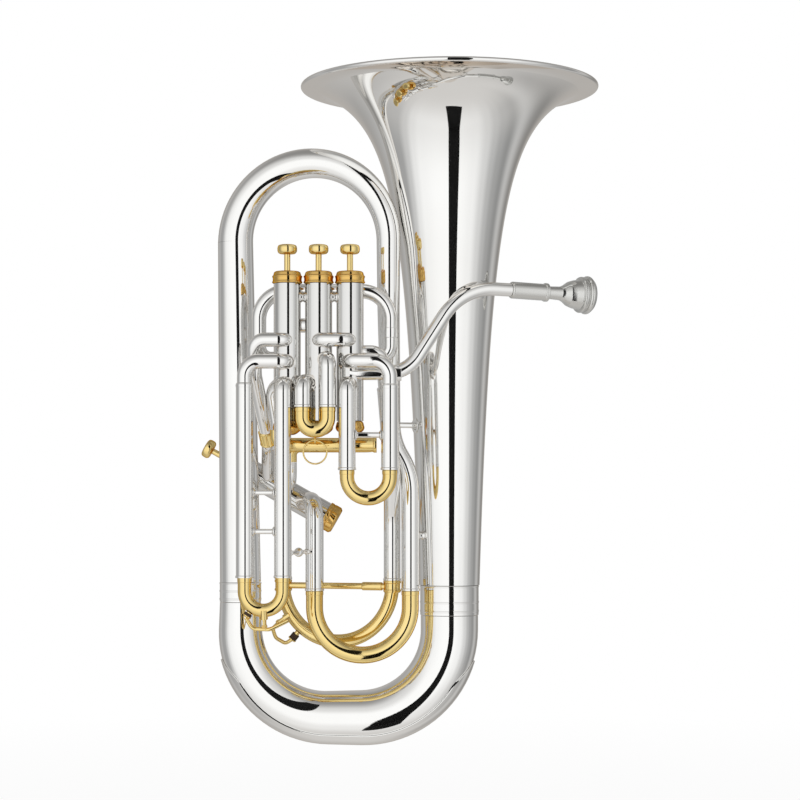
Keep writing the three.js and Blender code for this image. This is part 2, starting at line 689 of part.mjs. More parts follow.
function addValve(number, length) {
  addPart(`valve_${number}_casing`, SILVER, atValve(number, casing(length)));
  addPart(`valve_${number}_top_cap`, GOLD, atValve(number, topCap(length)));
  addPart(`valve_${number}_bottom_cap`, GOLD, atValve(number, bottomCap()));
  addPart(`valve_${number}_piston`, GOLD, atValve(number, piston(length)));
  addPart(`valve_${number}_button`, GOLD, atValve(number, button(length)));
}

// A place on the axis of the side valve, found from its x
function sideValveSpot(x) {
  const slope = Math.tan(THREE.MathUtils.degToRad(SIDE_VALVE_TILT));
  return place(x, SIDE_VALVE_FOOT.y, SIDE_VALVE_FOOT.z + (SIDE_VALVE_FOOT.x - x) * slope);
}

function mainSlideLeftLeg() {
  const { z, bend, portX } = MAIN_ELBOW;
  const corners = [{ at: sideValveSpot(portX) }, corner(MAIN_LEFT_X, MAIN_Y, z, bend)];
  const leg = boredLeg(corners, MAIN_LEFT_X, MAIN_Y, MAIN_LEG_END_Z, MAIN_LEG_RADIUS, MAIN_CROOK.leftReach);
  return trimmed(leg, casingKeepOut(4));
}

function fourthSlideLeftLeg() {
  const { leftX, leftY, endZ } = FOURTH_SLIDE;
  const { x, cornerZ, bend } = FOURTH_INLET_TOP;
  const corners = [{ at: sideValveSpot(x) }, corner(leftX, leftY, cornerZ, bend)];
  const leg = boredLeg(corners, leftX, leftY, endZ, FOURTH_LEG_RADIUS, FOURTH_CROOK.leftReach);
  return trimmed(leg, casingKeepOut(4));
}

function fourthSlideRightLeg() {
  const { x, y, z, bend, radius } = FOURTH_KNUCKLE;
  const { rightX, rightY, endZ } = FOURTH_SLIDE;
  const waist = place(rightX, FOURTH_WAIST.y, FOURTH_WAIST.z);
  const legTop = place(x, y, z).lerp(waist, FOURTH_WAIST.legShare);
  const knuckleEnd = legTop.clone().lerp(waist, BURIED_SHARE);
  const knuckle = [corner(valveX(1), y, z), corner(x, y, z, bend), { at: knuckleEnd }];
  const foot = corner(rightX, rightY, FOURTH_FOOT.z, FOURTH_FOOT.bend);
  const slope = [{ at: legTop }, { at: waist, bend: FOURTH_WAIST.bend }, foot];
  const leg = boredLeg(slope, rightX, rightY, endZ, FOURTH_LEG_RADIUS, FOURTH_CROOK.rightReach);
  return trimmed(joined(tube(knuckle, radius), leg), casingKeepOut(1));
}

// Fixed tubes
function archTube() {
  const { radius, y, leftX, rightX, topZ, bend } = ARCH;
  const { leftZ, rightZ, bend: footBend } = ARCH_FEET;
  const corners = [
    corner(valveX(3), VALVE_Y, leftZ),
    corner(valveX(3), y, leftZ, KNUCKLE_BEND),
    corner(leftX, y, leftZ, footBend),
    corner(leftX, y, topZ, bend),
    corner(rightX, y, topZ, bend),
    corner(rightX, y, rightZ, footBend),
    corner(valveX(1), y, rightZ, KNUCKLE_BEND),
    corner(valveX(1), VALVE_Y, rightZ),
  ];
  return trimmed(tube(corners, radius), casingKeepOut(1), casingKeepOut(2), casingKeepOut(3));
}

function crossover(right, left, y, z) {
  const { radius, bend } = CROSSOVER;
  const route = [
    corner(valveX(left), VALVE_Y, z),
    corner(valveX(left), y, z, bend),
    corner(valveX(right), y, z, bend),
    corner(valveX(right), VALVE_Y, z),
  ];
  return trimmed(tube(route, radius), casingKeepOut(right), casingKeepOut(left));
}

function fourthValveInlet() {
  const { radius, start, corners, portX } = FOURTH_INLET;
  const route = [corner(...start), ...corners.map((spot) => corner(...spot)), { at: sideValveSpot(portX) }];
  return trimmed(tube(route, radius), casingKeepOut(3), casingKeepOut(4));
}

function thirdCompBend() {
  const { radius, y, x, topZ, bend } = COMP_BEND;
  const route = [
    corner(valveX(3), VALVE_Y, topZ),
    corner(x, y, topZ, bend),
    corner(COMP_END.x, COMP_END.y, COMP_END.z + radius, COMP_END.bend),
    corner(COMP_END.x, COMP_END.y, COMP_END.z),
  ];
  return trimmed(tube(route, radius), casingKeepOut(3));
}

function returnCrook() {
  const { radius, z, elbowBend, turnX, rearY, downX } = RETURN_CROOK;
  const frontY = COMP_END.y;
  const turn = (rearY - frontY) / 2;
  const route = [
    corner(COMP_END.x, frontY, COMP_END.z - GAP),
    corner(COMP_END.x, frontY, z, elbowBend),
    corner(turnX, frontY, z, turn),
    corner(turnX, rearY, z, turn),
    corner(downX, rearY, z, turn),
    corner(downX, rearY, RETURN_INLET.topZ + GAP),
  ];
  return tube(route, radius);
}

function returnInlet() {
  const { topZ, cornerZ, bend, portX } = RETURN_INLET;
  const { downX, rearY, radius } = RETURN_CROOK;
  const route = [
    corner(downX, rearY, topZ),
    corner(downX, rearY, cornerZ, bend),
    { at: sideValveSpot(portX) },
  ];
  return trimmed(tube(route, radius), casingKeepOut(4));
}

// Mouthpipe
function leadpipeTube(extra) {
  const { startRadius, endRadius, start, corners, end } = LEADPIPE;
  const route = [corner(...start), ...corners.map((spot) => corner(...spot)), corner(...end)];
  return tube(route, taper(startRadius + extra, endRadius + extra));
}

function leadpipe() {
  return trimmed(leadpipeTube(0), casingKeepOut(1));
}

function receiverAxis() {
  const droop = THREE.MathUtils.degToRad(RECEIVER.droop);
  const turn = THREE.MathUtils.degToRad(RECEIVER.turn);
  return place(Math.cos(droop) * Math.cos(turn), Math.cos(droop) * Math.sin(turn), -Math.sin(droop));
}

function receiver() {
  const { radius, length, bore, depth, ring } = RECEIVER;
  const band = FERRULE_BAND;
  const profile = [
    [0, 0],
    [radius - band, 0],
    [radius, band],
    [radius, length - 3 * band],
    [ring, length - 2 * band],
    [ring, length],
    [bore, length],
    [bore, length - depth],
    [0, length - depth],
  ];
  return setAlong(turned(profile), receiverFoot(), receiverAxis());
}

function receiverFoot() {
  return place(...LEADPIPE.start).addScaledVector(receiverAxis(), GAP);
}

function mouthpiece() {
  const { length, throat, bowl, edge } = CUP;
  const { radius, thickness, rounding } = RIM;
  const shankFoot = RECEIVER.length - SHANK.inset;
  const cupFoot = RECEIVER.length + SHANK.showing;
  const cupEnd = cupFoot + length;
  const rimEnd = cupEnd + thickness;
  const profile = [
    [SHANK.backbore, shankFoot],
    [SHANK.radius - GAP, shankFoot],
    [SHANK.radius, RECEIVER.length],
    [SHANK.waist, cupFoot],
    ...CUP_OUTLINE_SHARES.map(([along, across]) => [across * radius, cupFoot + along * length]),
    [radius - rounding, cupEnd],
    [radius, cupEnd + rounding],
    [radius, rimEnd - rounding],
    [radius - rounding, rimEnd],
    [bowl + edge, rimEnd],
    [bowl, rimEnd - edge],
    [bowl * CUP.floor_share, cupEnd - edge],
    [throat, cupFoot + CUP.neck_share * length],
  ];
  return setAlong(turnedPipe(profile, CASING_SIDES), receiverFoot(), receiverAxis());
}

// Braces
function braceTo(from, to, rodRadius, flangeRadius, flangeShare) {
  const run = to.clone().sub(from);
  const flangeFoot = from.clone().addScaledVector(run, flangeShare);
  return joined(rod(from, to, rodRadius), rod(flangeFoot, to, flangeRadius, TUBE_SIDES));
}

function innerBranchKeepOut() {
  return tube(innerBranchCorners(), (share) => innerBranchRadiusAt(share) + GAP, SLIDE_SIDES);
}

function upperBellBrace() {
  const from = place(INNER_BRANCH.bendX, INNER_BRANCH.kneeY, BELL_BRACE_Z);
  const to = place(BELL_X, 0, BELL_BRACE_Z);
  const reach = from.distanceTo(to);
  const flangeShare = (reach - bellRadiusAt(BELL_BRACE_Z) - FLANGE_THICKNESS) / reach;
  const brace = braceTo(from, to, BRACE_ROD, BELL_BRACE_FLANGE, flangeShare);
  return trimmed(brace, bellKeepOut(), innerBranchKeepOut());
}

function lowerBellBrace() {
  const { z, radius } = LOWER_BRACE;
  const stub = rod(place(MAIN_RIGHT_X, MAIN_Y, z), place(BELL_X, 0, z), radius, TUBE_SIDES);
  return trimmed(stub, bellKeepOut(), innerBranchKeepOut());
}

function leadpipeBrace() {
  const { x, y, z, flange } = LEAD_BRACE;
  const from = place(x, y, z);
  const to = place(BELL_X, 0, z);
  const reach = from.distanceTo(to);
  const flangeShare = (reach - bellRadiusAt(z) - FLANGE_THICKNESS) / reach;
  const brace = braceTo(from, to, BRACE_ROD, flange, flangeShare);
  return trimmed(brace, bellKeepOut(), leadpipeTube(GAP));
}

function casingBrace(right, left) {
  const { z, radius } = CASING_BRACE;
  const stub = rod(place(valveX(left), VALVE_Y, z), place(valveX(right), VALVE_Y, z), radius, TUBE_SIDES);
  return trimmed(stub, casingKeepOut(right), casingKeepOut(left));
}

function ballBrace() {
  const { z, ball, flange, rod: rodRadius } = BALL_BRACE;
  const from = place(THIRD_SLIDE.rightX, SLIDE_Y, z);
  const to = place(MAIN_LEFT_X, MAIN_Y, z);
  const reach = from.distanceTo(to);
  const low = SLIDE_LEG_RADIUS + GAP;
  const high = reach - MAIN_LEG_RADIUS - GAP;
  const middle = (low + high) / 2;
  const plate = FLANGE_THICKNESS;
  const profile = [
    [0, low - plate],
    [flange, low - plate],
    [flange, low + plate],
    [rodRadius, low + 2 * plate],
    [rodRadius, middle - ball],
    [ball, middle - ball / 2],
    [ball, middle + ball / 2],
    [rodRadius, middle + ball],
    [rodRadius, high - 2 * plate],
    [flange, high - plate],
    [flange, high + plate],
    [0, high + plate],
  ];
  const shape = setAlong(turned(profile, TUBE_SIDES), from, to.clone().sub(from));
  const upright = (spot, radius) => {
    return rod(spot.clone().setZ(z - 2 * flange), spot.clone().setZ(z + 2 * flange), radius, SLIDE_SIDES);
  };
  return trimmed(shape, upright(from, low + GAP), upright(to, MAIN_LEG_RADIUS + 2 * GAP));
}

// Pull ring of the second slide
function pullRing() {
  const { radius, wire } = PULL_RING;
  const hoop = new THREE.TorusGeometry(radius, wire, RING_SIDES, 3 * RING_SIDES).rotateX(Math.PI / 2);
  return closedBody(hoop.translate(ringX(), SLIDE_Y, eyeZ() - radius));
}

function ringX() {
  return (SECOND_SLIDE.leftX + SECOND_SLIDE.rightX) / 2;
}

function eyeZ() {
  return SECOND_SLIDE.lowZ - SECOND_SLIDE.crookRadius - PULL_RING.eyeRadius;
}

function secondSlideCrook() {
  const { eyeRadius, eyeWire } = PULL_RING;
  const eye = new THREE.TorusGeometry(eyeRadius, eyeWire, RING_SIDES, 2 * RING_SIDES).rotateY(Math.PI / 2);
  return joined(slideCrook(SECOND_SLIDE), closedBody(eye.translate(ringX(), SLIDE_Y, eyeZ())));
}

// Water keys
function thirdKeyPlane() {
  const radius = (THIRD_SLIDE.rightX - THIRD_SLIDE.leftX) / 2;
  const centre = place(THIRD_SLIDE.leftX + radius, SLIDE_Y, THIRD_SLIDE.lowZ + radius);
  return { centre, run: place(1, 0, 0), surface: radius + THIRD_SLIDE.crookRadius };
}

function fourthKeyPlane() {
  const { leftX, leftY, rightX, rightY } = FOURTH_SLIDE;
  const span = place(rightX - leftX, rightY - leftY, 0);
  const radius = span.length() / 2;
  const centre = place(leftX, leftY, FOURTH_CROOK.lowZ + radius).addScaledVector(span, 1 / 2);
  return { centre, run: span.normalize(), surface: radius + FOURTH_CROOK.radius };
}

function inPlane(plane, along, rise, aside = 0) {
  const across = plane.run.clone().cross(place(0, 0, 1));
  const spot = plane.centre.clone().addScaledVector(plane.run, along).addScaledVector(across, aside);
  return spot.add(place(0, 0, rise));
}

function pinRod(plane, key, radius, halfLength) {
  const [along, rise] = key.hinge;
  return rod(inPlane(plane, along, rise, -halfLength), inPlane(plane, along, rise, halfLength), radius);
}

function nippleSpot(plane, key, distance) {
  const [along, rise] = key.nipple;
  const reach = distance / Math.hypot(along, rise);
  return inPlane(plane, along * reach, rise * reach);
}

function waterKey(plane, key) {
  const { lever, pad, padHeight } = WATER_KEY;
  const { barrel, pin, halfWidth, post } = KEY_HINGE;
  const route = key.lever.map(([along, rise, bend]) => ({ at: inPlane(plane, along, rise), bend }));
  const arm = tube(route, lever, ROD_SIDES);
  const padFoot = plane.surface + key.nippleRise + GAP;
  const disc = rod(nippleSpot(plane, key, padFoot), nippleSpot(plane, key, padFoot + padHeight), pad, TUBE_SIDES);
  const hub = pinRod(plane, key, barrel, halfWidth - GAP);
  return joined(arm, disc, hub, pinRod(plane, key, pin, halfWidth + 2 * post));
}

function withKeySeat(crook, plane, key) {
  const { post, pin, halfWidth } = KEY_HINGE;
  const inset = plane.surface - THIRD_SLIDE.crookRadius;
  const spoutEnd = nippleSpot(plane, key, plane.surface + key.nippleRise);
  const spout = rod(nippleSpot(plane, key, inset), spoutEnd, WATER_KEY.nipple);
  const [along, rise] = key.hinge;
  const distance = Math.hypot(along, rise);
  const foot = inset / distance;
  const head = (distance + post) / distance;
  const posts = [-1, 1].map((side) => {
    const aside = side * (halfWidth + post);
    const low = inPlane(plane, along * foot, rise * foot, aside);
    return rod(low, inPlane(plane, along * head, rise * head, aside), post);
  });
  const hole = pinRod(plane, key, pin + GAP, 4 * halfWidth);
  return trimmed(joined(crook, spout, ...posts), hole);
}

addPart('bell', SILVER, bell());
addPart('bell_ferrule', SILVER, ferrule(
  BELL_FERRULE.bottom,
  BELL_TAIL_Z - GAP,
  BELL_FERRULE.radius,
  BELL_FERRULE.rings,
).translate(BELL_X, 0, 0));
addPart('bottom_bow', SILVER, bottomBow());
addPart('bow_guard', SILVER, bowGuard());
addPart('branch_ferrule', SILVER, ferrule(
  BRANCH_FERRULE.bottom,
  BRANCH_FERRULE.top,
  BRANCH_FERRULE.radius,
  BRANCH_FERRULE.rings,
).translate(BRANCH_FOOT_X, 0, 0));
addPart('outer_branch', SILVER, outerBranch());
addPart('top_bow', SILVER, topBow());
addPart('inner_branch', SILVER, innerBranch());
addPart('main_slide_left_leg', SILVER, mainSlideLeftLeg());
addPart('main_slide_crook', GOLD, mainSlideCrook());

[1, 2, 3].forEach((number) => addValve(number, CASING.length));
addValve(4, SIDE_VALVE_LENGTH);

addPart('first_slide_legs', SILVER, firstSlideLegs());
addPart('first_slide_crook', GOLD, slideCrook(FIRST_SLIDE));
addPart('second_slide_left_leg', SILVER, secondSlideLeg(SECOND_SLIDE.leftX, SECOND_PORTS.leftZ));
addPart('second_slide_right_leg', SILVER, secondSlideLeg(SECOND_SLIDE.rightX, SECOND_PORTS.rightZ));
addPart('second_slide_crook', GOLD, secondSlideCrook());
addPart('second_slide_ring', GOLD, pullRing());
addPart('third_slide_legs', SILVER, thirdSlideLegs());
addPart('third_slide_crook', GOLD, withKeySeat(slideCrook(THIRD_SLIDE), thirdKeyPlane(), THIRD_KEY));
addPart('third_water_key', GOLD, waterKey(thirdKeyPlane(), THIRD_KEY));
addPart('fourth_slide_left_leg', SILVER, fourthSlideLeftLeg());
addPart('fourth_slide_right_leg', SILVER, fourthSlideRightLeg());
addPart('fourth_slide_crook', GOLD, withKeySeat(fourthCrook(), fourthKeyPlane(), FOURTH_KEY));
addPart('fourth_water_key', GOLD, waterKey(fourthKeyPlane(), FOURTH_KEY));

addPart('arch_tube', SILVER, archTube());
addPart('crossover_1_2', SILVER, crossover(1, 2, CROSSOVER.frontY, CROSSOVER.frontZ));
addPart('crossover_2_3', SILVER, crossover(2, 3, CROSSOVER.rearY, CROSSOVER.rearZ));
addPart('fourth_valve_inlet', SILVER, fourthValveInlet());
addPart('third_comp_bend', SILVER, thirdCompBend());
addPart('return_crook', GOLD, returnCrook());
addPart('return_inlet', SILVER, returnInlet());

addPart('leadpipe', SILVER, leadpipe());
addPart('receiver', SILVER, receiver());
addPart('mouthpiece', SILVER, mouthpiece());

addPart('upper_bell_brace', SILVER, upperBellBrace());
addPart('lower_bell_brace', SILVER, lowerBellBrace());
addPart('leadpipe_brace', SILVER, leadpipeBrace());
addPart('casing_brace_1_2', SILVER, casingBrace(1, 2));
addPart('casing_brace_2_3', SILVER, casingBrace(2, 3));
addPart('ball_brace', SILVER, ballBrace());

export default horn;
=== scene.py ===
import json
from math import acos, ceil, cos, hypot, pi, radians, sin, sqrt, tan
from types import SimpleNamespace as Sizes

import bpy
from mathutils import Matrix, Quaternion, Vector

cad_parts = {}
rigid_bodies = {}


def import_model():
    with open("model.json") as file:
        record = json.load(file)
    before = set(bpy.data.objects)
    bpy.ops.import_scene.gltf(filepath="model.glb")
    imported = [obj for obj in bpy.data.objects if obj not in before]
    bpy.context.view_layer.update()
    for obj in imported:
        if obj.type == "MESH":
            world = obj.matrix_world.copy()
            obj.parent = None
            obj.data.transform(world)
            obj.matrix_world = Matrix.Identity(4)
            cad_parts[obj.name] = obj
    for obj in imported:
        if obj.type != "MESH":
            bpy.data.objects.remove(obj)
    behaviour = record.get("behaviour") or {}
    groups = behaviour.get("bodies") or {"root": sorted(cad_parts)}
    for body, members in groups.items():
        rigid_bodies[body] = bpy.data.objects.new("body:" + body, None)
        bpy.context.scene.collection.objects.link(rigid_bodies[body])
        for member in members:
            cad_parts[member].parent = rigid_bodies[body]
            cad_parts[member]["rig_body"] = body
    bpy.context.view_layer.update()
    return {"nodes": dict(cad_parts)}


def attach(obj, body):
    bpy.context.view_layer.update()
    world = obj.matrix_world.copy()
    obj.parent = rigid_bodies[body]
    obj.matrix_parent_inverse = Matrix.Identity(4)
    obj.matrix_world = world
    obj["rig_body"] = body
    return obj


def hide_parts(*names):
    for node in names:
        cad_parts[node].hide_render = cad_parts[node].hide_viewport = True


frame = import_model()

# Sizes below are in millimetres and become metres through MM
MM = 0.001
BEND_STEP = radians(4)
SHARP_ANGLE = radians(32)
SAME_PLACE = 1e-4
GAP = 0.3
EDGE = 0.5
FINE_EDGE = 0.3
EDGE_SHARE = 0.45
UP = Vector((0, 0, 1))
ALONG_X = Vector((1, 0, 0))
ALONG_Y = Vector((0, 1, 0))

# Sides of round pieces
POST_SIDES = 24
PIN_SIDES = 32
TUBE_SIDES = 40
CROOK_SIDES = 48
LEG_SIDES = 56
TURNED_SIDES = 72
TOP_BOW_SIDES = 80
SMOOTH_SIDES = 96
BOTTOM_BOW_SIDES = 120
BELL_SIDES = 200

# Bell and large conical branch
BELL = Sizes(x=105.5, height=666, radius=150, wall=1, rim_bead=2.4)
BELL_TAIL = Sizes(radius=30.5, z=161.9)
BELL_STEPS = 90
BELL_STEP_POWER = 2.1
BELL_FERRULE = Sizes(bottom=131.6, radius=29.6, rings=[4, 13, 29])
BRANCH_FERRULE = Sizes(bottom=144.8, top=164.6, radius=20.9, rings=[3, 11, 19])
FERRULE = Sizes(band=1.1, rise=0.5, edge=0.7)
BOW = Sizes(bend=88.5, z=28.4, start_radius=29, end_radius=20.7, taper_power=1.7)
BRANCH_FOOT_X = -105.5
BRANCH_TOP = Sizes(x=-110.5, z=507, radius=17.7)
TOP_BOW_END = Sizes(x=44.1, y=-27, radius=11.9)
GUARD = Sizes(thickness=1.1, band=10, top=94, fade=22, least=0.12, steps=24)

# Inner branch and main tuning slide
MAIN_Y = -24
MAIN_SLIDE = Sizes(left=-29.8, right=65.9, leg=9, end=156.8, low=92.6, crook=8.5, reaches=(60, 78))
INNER_BRANCH = Sizes(bend=64, y=-20, top=500, upper=440, lower=306, foot=274, taper_end=0.7)
MAIN_ELBOW = Sizes(z=247, bend=20, port_x=-45)

# Upright valves and the side valve
VALVE_SPACING = 30.8
FIRST_VALVE_X = 6.5
VALVE_Y = -62
VALVE_FOOT_Z = 325.1
CASING = Sizes(radius=13.3, bore=11.6, length=134.5)
SADDLE_DEPTH = 0.4
TOP_CAP = Sizes(radius=14.9, band_top=7.8, neck=13.7, top=12.2, hole=3.4, edge=0.6)
BOTTOM_CAP = Sizes(radius=14.4, height=13.8, bevel=2.2, edge=0.7, round=3, round_steps=8)
PISTON = Sizes(radius=11.1, foot=18, shoulder=16, neck=12, stem=3)
BUTTON = Sizes(radius=9.65, foot=29.5, top=38.6, bevel=2.9, edge=1.4)
SIDE_VALVE = Sizes(length=103, foot=Vector((-21.5, 38.5, 232.5)), tilt=radians(29.5))

# Valve slides
SLIDE_Y = -84.5
SLIDE_WALL = 0.7
RUNNING_CLEARANCE = 0.6
SLIDE_LEG_RADIUS = 8.3
SLIDE_LIP = Sizes(rise=0.6, height=2, edge=0.4)
KNUCKLE = Sizes(bend=8.6, radius=7.3, drop=1.6, lap=1.7)
KNUCKLE_JOINT = [(0, -2), (8.3, -2), (8.7, 0), (8.3, 2), (7.3, 3), (0, 3)]
LEG_ROD = Sizes(flare=1.9, foot=1, neck=2.4, edge=0.6)
LEG_SINK = 2
CROOK_RING = Sizes(height=4, rise=0.35, main_rise=0.4)
FIRST_SLIDE = Sizes(left=4.1, right=45.6, end=276.6, low=249.2, crook=7, reach=72)
SECOND_SLIDE = Sizes(left=-39.1, right=-14.8, end=337.7, low=315.5, crook=7.6, reach=14)
THIRD_SLIDE = Sizes(left=-95.5, right=-58.4, end=171.7, low=140.2, crook=6.6, reach=120)
FIRST_PORTS = Sizes(elbow=360, knuckle=383, bend=16, rods=[310.7], rod_radius=2.8)
SECOND_PORTS = Sizes(left=362, right=384.5)
THIRD_PORTS = Sizes(elbow=360, knuckle=382.5, bend=15, rods=[254.8, 216.9], rod_radius=2.5)
PULL_RING = Sizes(radius=11.4, wire=0.8, eye=2.5, eye_wire=0.8)

# Fourth valve slide
FOURTH_LEFT = Vector((-63.7, 28, 0))
FOURTH_RIGHT = Vector((47.7, -6, 0))
FOURTH_SLIDE = Sizes(leg=8.4, end=166.4, low=104.1, crook=7, reaches=(46, 50))
FOURTH_COLLAR = Sizes(radius=8.9, waist=8.2, height=11.8)
FOURTH_ROD = Sizes(radius=3.2, sleeve=4.2, from_x=17.6, to_x=37.7, z=160.4, edge=0.8)
FOURTH_KNUCKLE = Sizes(x=38.4, y=-57, z=392.7, bend=13, radius=7.1, lap=0.05)
FOURTH_JOINT = [(0, -1.5), (8.4, -1.5), (8.7, 0), (8.3, 1.6), (0, 1.6)]
FOURTH_WAIST = Sizes(y=-40, z=281, bend=40, leg_share=0.32, foot_z=229, foot_bend=30)
FOURTH_ELBOW = Sizes(z=232, bend=12, port_x=-66)

# Fixed tubes of the valve group
ARCH = Sizes(radius=7.2, y=-41, left=-84.2, right=45.7, top=454.4, bend=28)
ARCH_FEET = Sizes(left=387.3, right=388, bend=12)
TUBE_JOINT = Sizes(half=5, bead=7.9)
ARCH_JOINT = Sizes(z=413, core=6, radius=7.7)
CROSSOVER = Sizes(radius=7.1, bend=9, front_y=-77, front_z=403.9, rear_y=-46.5, rear_z=420)
COMP_BEND = Sizes(radius=6.9, x=-71.5, y=-50, top=361, bend=13, end_bend=12)
COMP_END = Vector((-66, -42.5, 317))
RETURN_CROOK = Sizes(radius=7, z=302, elbow=9, turn_x=25.5, rear_y=-23, down_x=-54.5)
RETURN_STUB = Sizes(length=17, lip=7.6)
RETURN_INLET = Sizes(top=285, corner=267, bend=14, port_x=-62)
FOURTH_INLET = Sizes(
    radius=7,
    port_x=-80,
    corners=[((-86.7, -75, 403.9), 11), ((-87, -62, 370), 20), ((-76, -15, 303), 25)],
)
INLET_COLLAR = Sizes(share=0.8, length=15, core=6.5, radius=8, bead=8.4, edge=0.4)

# Mouthpipe and mouthpiece
LEADPIPE = Sizes(
    radii=(6.6, 7),
    start=Vector((164.9, -38.4, 456)),
    corners=[((116.5, -59, 456.8), 62), ((62.6, -68.5, 371.8), 36)],
    end=Vector((10, -68.5, 371.8)),
)
LEADPIPE_JOINT = Sizes(x=52, core=5, radius=7.6)
RECEIVER = Sizes(radius=8.4, length=40.6, bore=6.7, depth=34, ring=9.3)
RECEIVER_WAY = Sizes(droop=radians(1.5), turn=radians(23))
MOUTHPIECE = Sizes(foot=8, shank=6.2, cup=56, cup_end=75.6, rim_end=89.2, rim=19.2)
MOUTHPIECE_EDGE = Sizes(radius=1.4, steps=6)

# Braces and water keys
BRACE = Sizes(rod=2.8, edge=1, sink=0.6)
BELL_BRACE = Sizes(start=Vector((46.6, -20, 322.5)), flange=8)
LEAD_BRACE = Sizes(start=Vector((146, -47, 456)), flange=9)
LOWER_BRACE = Sizes(z=212, radius=4.6, waist=3.8, edge=1.2, leg_sink=0.5, bell_sink=0.8)
CASING_BRACE = Sizes(z=446.5, radius=5.5, waist=4, edge=0.8, sink=1.1)
BALL_BRACE = Sizes(z=196, ball=4.6, flange=3.1, rod=1.9, aside=5.6, edge=0.8, sink=1.4)
WATER_KEY = Sizes(lever=1.9, sides=20, pad=4.4, pad_height=3.6, edge=0.4, nipple=2.6, barrel=2.6, pin=0.9)
KEY_POST = Sizes(aside=2, rod=1.6, base=3.1, eye=1.7, wire=0.5, wire_sides=12)
KEY_CORK = Sizes(inset=0.4, stand=1.6, sink=0.1)
KEY_HALF_WIDTH = 3.2
THIRD_KEY = Sizes(
    hinge=(1, -34.2),
    nipple=(-0.56, -0.83),
    rise=1.4,
    spout=0.5,
    base_share=0.62,
    lever=[(-17.2, -25.4, 0), (-11, -36.4, 8), (6, -37.2, 12), (23.8, -28.4, 0)],
)
FOURTH_KEY = Sizes(
    hinge=(-62.5, -39.5),
    nipple=(-0.65, -0.76),
    rise=7,
    spout=2.6,
    base_share=0.5,
    lever=[(-62.5, -39.5, 0), (-70, -46.5, 5), (-66.5, -56, 7), (-56, -61.5, 5), (-48.8, -57.1, 0)],
)

# Camera and light
CAMERA = Sizes(distance=2220, x=55.6, z=247.5, view_width=808, sensor=36, shift=0.125)
FLOOR = Sizes(z=-260, half=60000, paint=(0.9, 0.9, 0.9), glow=(0.86, 1), glow_reach=(0.2, 3))
CLOTH_PAINT = (0.004, 0.004, 0.004)
CLOTH = Sizes(x=(-5, 760), y=-2300, top=4000, low=-1500, near_x=(-60, 560), near_y=-1050)
LIGHT_AIM = Vector((0, 0, 300))
WHITE = (1, 1, 1)
WARM = (1, 0.975, 0.945)
NEUTRAL = (1, 1, 0.995)
ROOM_TURN = 1.5
ROOM_LEFT = [
    (0, 0.5), (0.08, 0.4), (0.235, 0.47), (0.37, 0.36), (0.5, 0.38),
    (0.61, 0.6), (0.71, 0.86), (0.8, 0.98), (1, 1.06),
]
ROOM_RIGHT = [
    (0, 0.5), (0.08, 0.28), (0.235, 0.52), (0.37, 0.3), (0.5, 0.38),
    (0.61, 0.5), (0.72, 0.7), (0.86, 0.95), (1, 1.05),
]
ROOM_POLES = [(0, 0.66), (0.5, 0.6), (1, 0.27)]
ROOM_SLOPE = [(0, 1), (0.15, 0.42), (0.36, 0), (0.61, 0), (0.8, 0.42), (1, 1)]


def at(x, y, z, bend=0):
    return (Vector((x, y, z)), bend)


# Meshes are kept as a list of points and a list of faces until they are shown
def joined(*meshes):
    points, faces = [], []
    for more_points, more_faces in meshes:
        base = len(points)
        points += more_points
        faces += [tuple(base + i for i in face) for face in more_faces]
    return points, faces


def moved(mesh, shift):
    return [p + Vector(shift) for p in mesh[0]], mesh[1]


def set_along(mesh, origin, direction):
    turn = UP.rotation_difference(Vector(direction))
    return [turn @ p + Vector(origin) for p in mesh[0]], mesh[1]


def loft(rings, looped=False):
    sides = len(rings[0])
    faces = []
    last = len(rings) if looped else len(rings) - 1
    for r in range(last):
        low, high = r * sides, ((r + 1) % len(rings)) * sides
        for s in range(sides):
            t = (s + 1) % sides
            faces.append((low + s, low + t, high + t, high + s))
    if not looped:
        faces.append(tuple(reversed(range(sides))))
        faces.append(tuple(range((len(rings) - 1) * sides, len(rings) * sides)))
    return [p for ring in rings for p in ring], faces


# Routes of straight runs and round bends
def bend_stations(before, here, after, bend):
    inward = (here - before).normalized()
    outward = (after - here).normalized()
    turn = inward.angle(outward)
    axis = inward.cross(outward).normalized()
    to_centre = axis.cross(inward)
    start = here - inward * bend * tan(turn / 2)
    centre = start + to_centre * bend
    steps = max(2, ceil(turn / BEND_STEP))
    found = []
    for i in range(steps + 1):
        spin = Quaternion(axis, turn * i / steps)
        found.append((centre + spin @ (to_centre * -bend), spin @ inward))
    return found


def stations_of(corners):
    spots = [spot for spot, _ in corners]
    found = [(spots[0], (spots[1] - spots[0]).normalized())]
    for i in range(1, len(corners) - 1):
        found += bend_stations(spots[i - 1], spots[i], spots[i + 1], corners[i][1])
    found.append((spots[-1], (spots[-1] - spots[-2]).normalized()))
    kept = [found[0]]
    for station in found[1:]:
        if (station[0] - kept[-1][0]).length > SAME_PLACE:
            kept.append(station)
    return kept


def shares_of(stations):
    travelled = [0]
    for (a, _), (b, _) in zip(stations, stations[1:]):
        travelled.append(travelled[-1] + (b - a).length)
    return [t / travelled[-1] for t in travelled]


def frames_of(stations):
    first = stations[0][1]
    helper = ALONG_X if abs(first.y) > sqrt(0.5) else ALONG_Y
    up = (helper - first * helper.dot(first)).normalized()
    found = []
    for i, (_, along) in enumerate(stations):
        if i:
            up = stations[i - 1][1].rotation_difference(along) @ up
        found.append((up.copy(), along.cross(up)))
    return found


